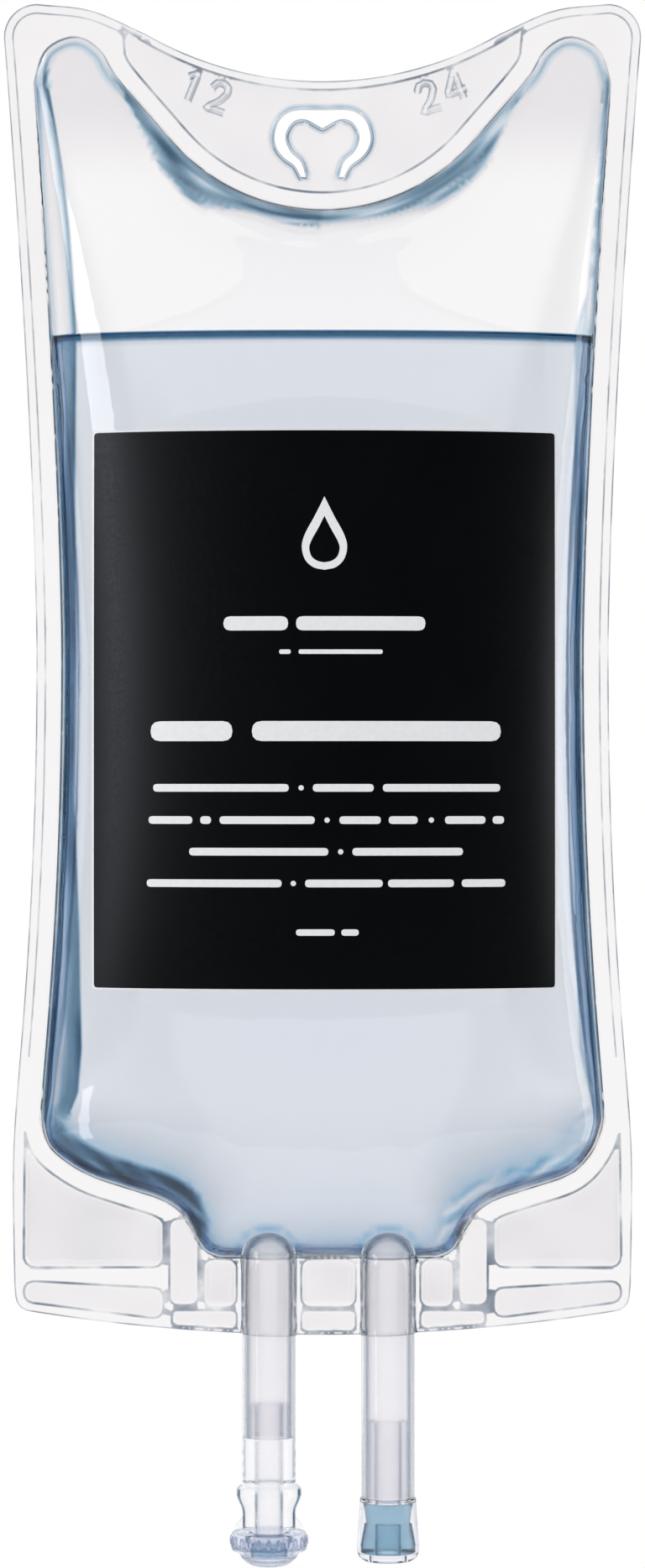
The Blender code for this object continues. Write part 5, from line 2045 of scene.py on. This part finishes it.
@dataclass(frozen=True)
class InjectionFitting:
    """The clear collar in the right tube's end and the rubber stopper inside it."""

    x: float
    tube_end_z: float = -219.2 * MM
    insert_length: float = 12.3 * MM
    insert_r: float = 2.95 * MM
    bore_r: float = 1.85 * MM
    collar_top_r: float = 4.45 * MM
    flare_r: float = 4.97 * MM
    end_z: float = -229.2 * MM
    lip: float = 1.3 * MM
    mouth_r: float = 2.7 * MM
    roof: float = 0.7 * MM
    stopper_top_r: float = 3.8 * MM
    stopper_waist_r: float = 3.5 * MM
    stopper_foot_r: float = 4.25 * MM
    recess_r: float = 1.7 * MM
    recess_depth: float = 4.6 * MM
    dish: float = 0.5 * MM
    fit: float = 0.06 * MM

    def stopper_side(self) -> list[tuple[float, float]]:
        """Returns (radius, height) down the stopper's side."""
        top = -self.roof - self.fit
        low = self.end_z + self.lip - self.tube_end_z
        waist = top + (low - top) * 0.4
        return [(self.stopper_top_r, top), (self.stopper_top_r, top * 0.75 + waist * 0.25),
                (self.stopper_waist_r, waist), (self.stopper_foot_r, waist * 0.3 + low * 0.7),
                (self.stopper_foot_r, low)]

    def collar(self, finish: bpy.types.Material) -> bpy.types.Object:
        """Returns the clear collar with its long insert."""
        end = self.end_z - self.tube_end_z
        cavity = [(r + self.fit, h, 0.3 * MM) for r, h in self.stopper_side()]
        cavity[0] = (cavity[0][0], -self.roof, 0.15 * MM)
        outer = [
            (self.insert_r, self.insert_length, 0.15 * MM), (self.insert_r, 0, 0.05 * MM),
            (self.collar_top_r, 0, 0.3 * MM), (self.collar_top_r, -0.9 * MM, 0.5 * MM),
            (self.flare_r - 0.15 * MM, end * 0.62, 1.0 * MM), (self.flare_r, end * 0.82, 0.6 * MM),
            (self.flare_r - 0.3 * MM, end * 0.93, 0.4 * MM), (self.flare_r - 1.3 * MM, end, 0.35 * MM),
            (self.mouth_r, end, 0.2 * MM), (self.mouth_r, cavity[-1][1], 0.1 * MM),
        ]
        inner = cavity[::-1] + [(self.bore_r, -self.roof, 0.1 * MM),
                                (self.bore_r, self.insert_length, 0.15 * MM)]
        made = Turning().turn("injection_collar_clear", outer + inner, self.x, self.tube_end_z, finish,
                              closed=True)
        mark_bore(made, self.x, self.bore_r + 0.01 * MM, self.tube_end_z + 1.1 * self.insert_length)
        return made

    def stopper(self, finish: bpy.types.Material) -> bpy.types.Object:
        """Returns the waisted rubber stopper with its recess."""
        side = [(r, h, 0.35 * MM) for r, h in self.stopper_side()]
        top, low = side[0][1], side[-1][1]
        dish = [(0, top - self.dish, 0), (self.stopper_top_r * 0.55, top - self.dish, 0.4 * MM),
                (self.stopper_top_r - 0.5 * MM, top, 0.2 * MM)]
        recess = [(self.recess_r, low, 0.25 * MM), (self.recess_r, low + self.recess_depth, 0.3 * MM),
                  (0, low + self.recess_depth, 0)]
        return Turning().turn("injection_stopper_rubber", dish + side + recess, self.x,
                              self.tube_end_z, finish)


# Studio


@dataclass(frozen=True)
class Softbox:
    """One area lamp that looks at the bag's middle."""

    name: str
    place: tuple
    width: float
    height: float
    brightness: float
    mirrored: bool = True

    def build(self, target: Vector) -> None:
        """Adds the lamp.

        Args:
            target: the point it looks at.
        """
        lamp = bpy.data.lights.new(self.name, "AREA")
        lamp.shape = "RECTANGLE"
        lamp.size, lamp.size_y = self.width, self.height
        lamp.energy = self.brightness * math.pi * self.width * self.height
        obj = bpy.data.objects.new(self.name, lamp)
        obj.location = self.place
        obj.rotation_euler = (target - Vector(self.place)).to_track_quat("-Z", "Y").to_euler()
        obj.visible_camera = False
        obj.visible_glossy, obj.visible_transmission = self.mirrored, False
        bpy.context.scene.collection.objects.link(obj)


@dataclass(frozen=True)
class Studio:
    """The camera at the photograph's angle, soft lamps, a white surround and a pale floor."""

    distance: float = 0.80
    middle_z: float = -106.5 * MM
    frame_height: float = 247.75 * MM
    floor_z: float = -0.75
    floor_r: float = 1.5
    floor_y: float = 0.55
    floor_glow: float = 0.93
    dark: tuple = (0.035, 0.125, 0.205, 1)
    pale: tuple = (1.0, 0.99, 0.995, 1)
    diffuse: float = 0.62

    def camera(self) -> None:
        """Adds the level camera in front."""
        lens = bpy.data.cameras.new("view")
        lens.sensor_width = 36.0
        lens.lens = lens.sensor_width * self.distance / self.frame_height
        lens.clip_start, lens.clip_end = 0.01, 50
        obj = bpy.data.objects.new("view", lens)
        obj.location = (0, -self.distance, self.middle_z)
        obj.rotation_euler = (math.radians(90), 0, 0)
        bpy.context.scene.collection.objects.link(obj)
        bpy.context.scene.camera = obj

    def lamps(self) -> None:
        """Adds two strips on the left, one on the right, a high fill without highlights, one behind."""
        target = Vector((0, 0, self.middle_z))
        z = self.middle_z
        Softbox("left_strip", (-0.60, -0.42, z + 0.27), 0.20, 0.66, 5.5).build(target)
        Softbox("low_left_strip", (-0.56, -0.40, z - 0.36), 0.06, 0.30, 5.0).build(target)
        Softbox("right_strip", (0.68, -0.10, z + 0.02), 0.20, 0.90, 2.4).build(target)
        Softbox("top_fill", (0.10, -0.75, z + 0.95), 0.60, 0.40, 1.5, False).build(target)
        Softbox("back_strip", (-0.45, 0.62, z + 0.10), 0.18, 0.70, 2.0).build(target)

    def surround(self) -> None:
        """Sets the world: white to the camera, white with blue-grey corners to gloss and glass."""
        world = bpy.data.worlds.new("surround")
        bpy.context.scene.world = world
        world.use_nodes = True
        graph = NodeGraph(world.node_tree)
        graph.tree.nodes.clear()
        maths = graph.maths

        def eased(value: Socket, start: float, stop: float) -> Socket:
            """Returns the value eased from 0 at start to 1 at stop."""
            return graph.node("ShaderNodeMapRange", interpolation_type="SMOOTHSTEP", Value=value,
                              From_Min=start, From_Max=stop).outputs[0]

        def light(colour: object, strength: object) -> Socket:
            """Returns a background of one colour and strength."""
            return graph.node("ShaderNodeBackground", Color=colour, Strength=strength).outputs[0]

        direction = graph.node("ShaderNodeTexCoord").outputs["Generated"]
        x, y, z = graph.node("ShaderNodeSeparateXYZ", Vector=direction).outputs
        across = maths("MULTIPLY", x, x)
        flat = maths("MAXIMUM", maths("ADD", across, maths("MULTIPLY", y, y)), 1e-4)
        side = maths("DIVIDE", across, flat)
        lighter = maths("SUBTRACT", 1.0, maths("MULTIPLY", eased(side, 0.6, 0.95), 0.8))
        corner = maths("MULTIPLY", eased(side, 0.32, 0.42), lighter)
        shade = maths("MAXIMUM", maths("MULTIPLY", corner, eased(z, -0.25, -0.12)),
                      maths("MULTIPLY", eased(z, 0.45, 0.75), 0.5))
        tone = graph.mixed(shade, self.pale, self.dark)
        front = maths("DIVIDE", maths("MULTIPLY", y, -1.0), maths("SQRT", flat))
        unlit = maths("SUBTRACT", 1.0, maths("MULTIPLY", eased(front, 0.0, 0.4), 0.98))
        rays = graph.node("ShaderNodeLightPath").outputs
        shown = light((0.95, 0.97, 1.0, 1), self.diffuse)
        for ray, background in (("Is Glossy Ray", light(tone, unlit)),
                                ("Is Transmission Ray", light(tone, 1.0)),
                                ("Is Camera Ray", light((1, 1, 1, 1), 1.0))):
            shown = graph.filled("ShaderNodeMixShader", rays[ray], shown, background)
        graph.node("ShaderNodeOutputWorld", Surface=shown)

    def floor(self) -> None:
        """Adds the pale floor, which stays white to the camera and keeps the bag's shadow."""
        steps = 96
        angles = [math.tau * i / steps for i in range(steps)]
        ring = [(self.floor_r * math.cos(a), self.floor_y + self.floor_r * math.sin(a), self.floor_z)
                for a in angles]
        shader = Shader("studio_floor")
        grain = shader.ranged(shader.speckle(50 * MM), 0.88, 0.9)
        tone = shader.filled("ShaderNodeCombineColor", grain, grain, grain)
        shader.set(Roughness=0.9, Specular_IOR_Level=0.1, Base_Color=tone)
        rays = shader.node("ShaderNodeLightPath").outputs
        bent = shader.maths("MAXIMUM", rays["Is Glossy Ray"], rays["Is Transmission Ray"])
        seen = shader.maths("MAXIMUM", rays["Is Camera Ray"], bent)
        share = shader.maths("MULTIPLY", seen, self.floor_glow)
        white = shader.node("ShaderNodeEmission", Color=(1, 1, 1, 1), Strength=1.0)
        mix = shader.filled("ShaderNodeMixShader", share, shader.main.outputs[0], white.outputs[0])
        shader.feed(shader.tree.nodes["Material Output"].inputs["Surface"], mix)
        plane = object_from("floor", np.array(ring), [list(range(steps))], [shader.made])
        plane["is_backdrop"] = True

    def build(self) -> None:
        """Adds all of it and sets how colours are shown."""
        self.camera()
        self.lamps()
        self.surround()
        self.floor()
        scene = bpy.context.scene
        scene.view_settings.view_transform = "Standard"
        scene.cycles.max_bounces = 28
        scene.cycles.transmission_bounces = 28
        scene.cycles.glossy_bounces = 8
        scene.cycles.transparent_max_bounces = 16


@dataclass
class Bag:
    """The whole bag: it builds each piece, puts it on its body and names what it stands for."""

    sizes: FilmSizes = field(default_factory=FilmSizes)
    label: LabelSizes = field(default_factory=LabelSizes)
    numbers: MouldNumbers = field(default_factory=MouldNumbers)
    spike_tube_end_z: float = -209.6 * MM
    injection_tube_end_z: float = -219.2 * MM

    def settle(self, obj: bpy.types.Object, body: str, slot: str, *nodes: str) -> None:
        """Puts a finished piece on its body.

        Args:
            obj: the piece.
            body: the body it rides on.
            slot: the record's material slot; not used.
            nodes: the CAD nodes it stands for.
        """
        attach(obj, body)
        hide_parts(*nodes)
        LOG.info("%s: %d faces for %s", obj.name, len(obj.data.polygons), ", ".join(nodes))

    def build(self) -> None:
        """Builds every piece in order."""
        layout = FilmLayout(self.sizes, self.label, self.numbers)
        LOG.info("layout: %d points, %d faces", len(layout.points), len(layout.faces))
        tones = PaintedShade(layout)
        films = FilmPair(layout, tones, ClearFilm().build())
        self.settle(films.build("front_film_clear", -1), "bag", "clear_film", "front_film")
        self.settle(films.build("back_film_clear", 1), "bag", "clear_film", "back_film")
        fluid = FluidFill(layout, tones, WateryFluid().build()).build()
        self.settle(fluid, "bag", "fluid", "solution")
        label = FrontLabel(layout, SatinBlack().build(), WhiteStock("label_white_stock", 0.82).build(),
                           WhiteStock("label_white_print", 0.88).build()).build()
        self.settle(label, "bag", "label_black", "label")
        self.build_ports()

    def build_ports(self) -> None:
        """Builds the port tubes and their fittings."""
        left, right = self.sizes.tube_xs
        tube = CloudyPlastic("cloudy_tube", (0.965, 0.96, 0.974, 1), (0.54, 0.61, 0.73, 1), 1.38).build()
        pale = (0.975, 0.973, 0.985, 1)
        clear = CloudyPlastic("clear_moulding", pale, (0.50, 0.58, 0.74, 1), 1.27).build()
        thin = CloudyPlastic("clear_collar", pale, (0.50, 0.57, 0.70, 1), 1.2).build()
        rubber = TintedSolid("blue_rubber", (0.64, 0.79, 0.88, 1), (0.72, 0.85, 0.93, 1), 1.3, 0.94,
                             (0.18, 0.26), 85).build()
        lilac = TintedSolid("lilac_plastic", (0.83, 0.87, 0.99, 1), (0.88, 0.91, 1.0, 1), 1.25, 0.96,
                            (0.20, 0.28)).build()
        spike = PortTube(left, self.spike_tube_end_z).build("spike_tube_cloudy", tube)
        self.settle(spike, "bag", "clear_tube", "spike_tube")
        other = PortTube(right, self.injection_tube_end_z).build("injection_tube_cloudy", tube)
        self.settle(other, "bag", "clear_tube", "injection_tube")
        fitting = SpikeFitting(left)
        self.settle(fitting.connector(clear), "bag", "clear_moulding", "spike_connector")
        self.settle(fitting.disc(rubber), "bag", "blue_rubber", "spike_septum")
        self.settle(fitting.cap(lilac), "cap", "lilac_cap", "spike_cap")
        port = InjectionFitting(right)
        self.settle(port.collar(thin), "bag", "clear_moulding", "injection_collar")
        self.settle(port.stopper(rubber), "bag", "blue_rubber", "injection_stopper")


def corners(box: tuple[Vector, Vector]) -> list[list[float]]:
    """Returns a box as plain lists of numbers."""
    return [[float(v) for v in corner] for corner in box]


def main() -> None:
    """Loads the frame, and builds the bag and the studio."""
    logging.basicConfig(level=logging.INFO, format="%(name)s %(message)s")
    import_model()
    packed = corners(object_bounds())
    Bag().build()
    Studio().build()
    {"cad": packed, "visual": corners(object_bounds())}


if __name__ == "__main__":
    main()
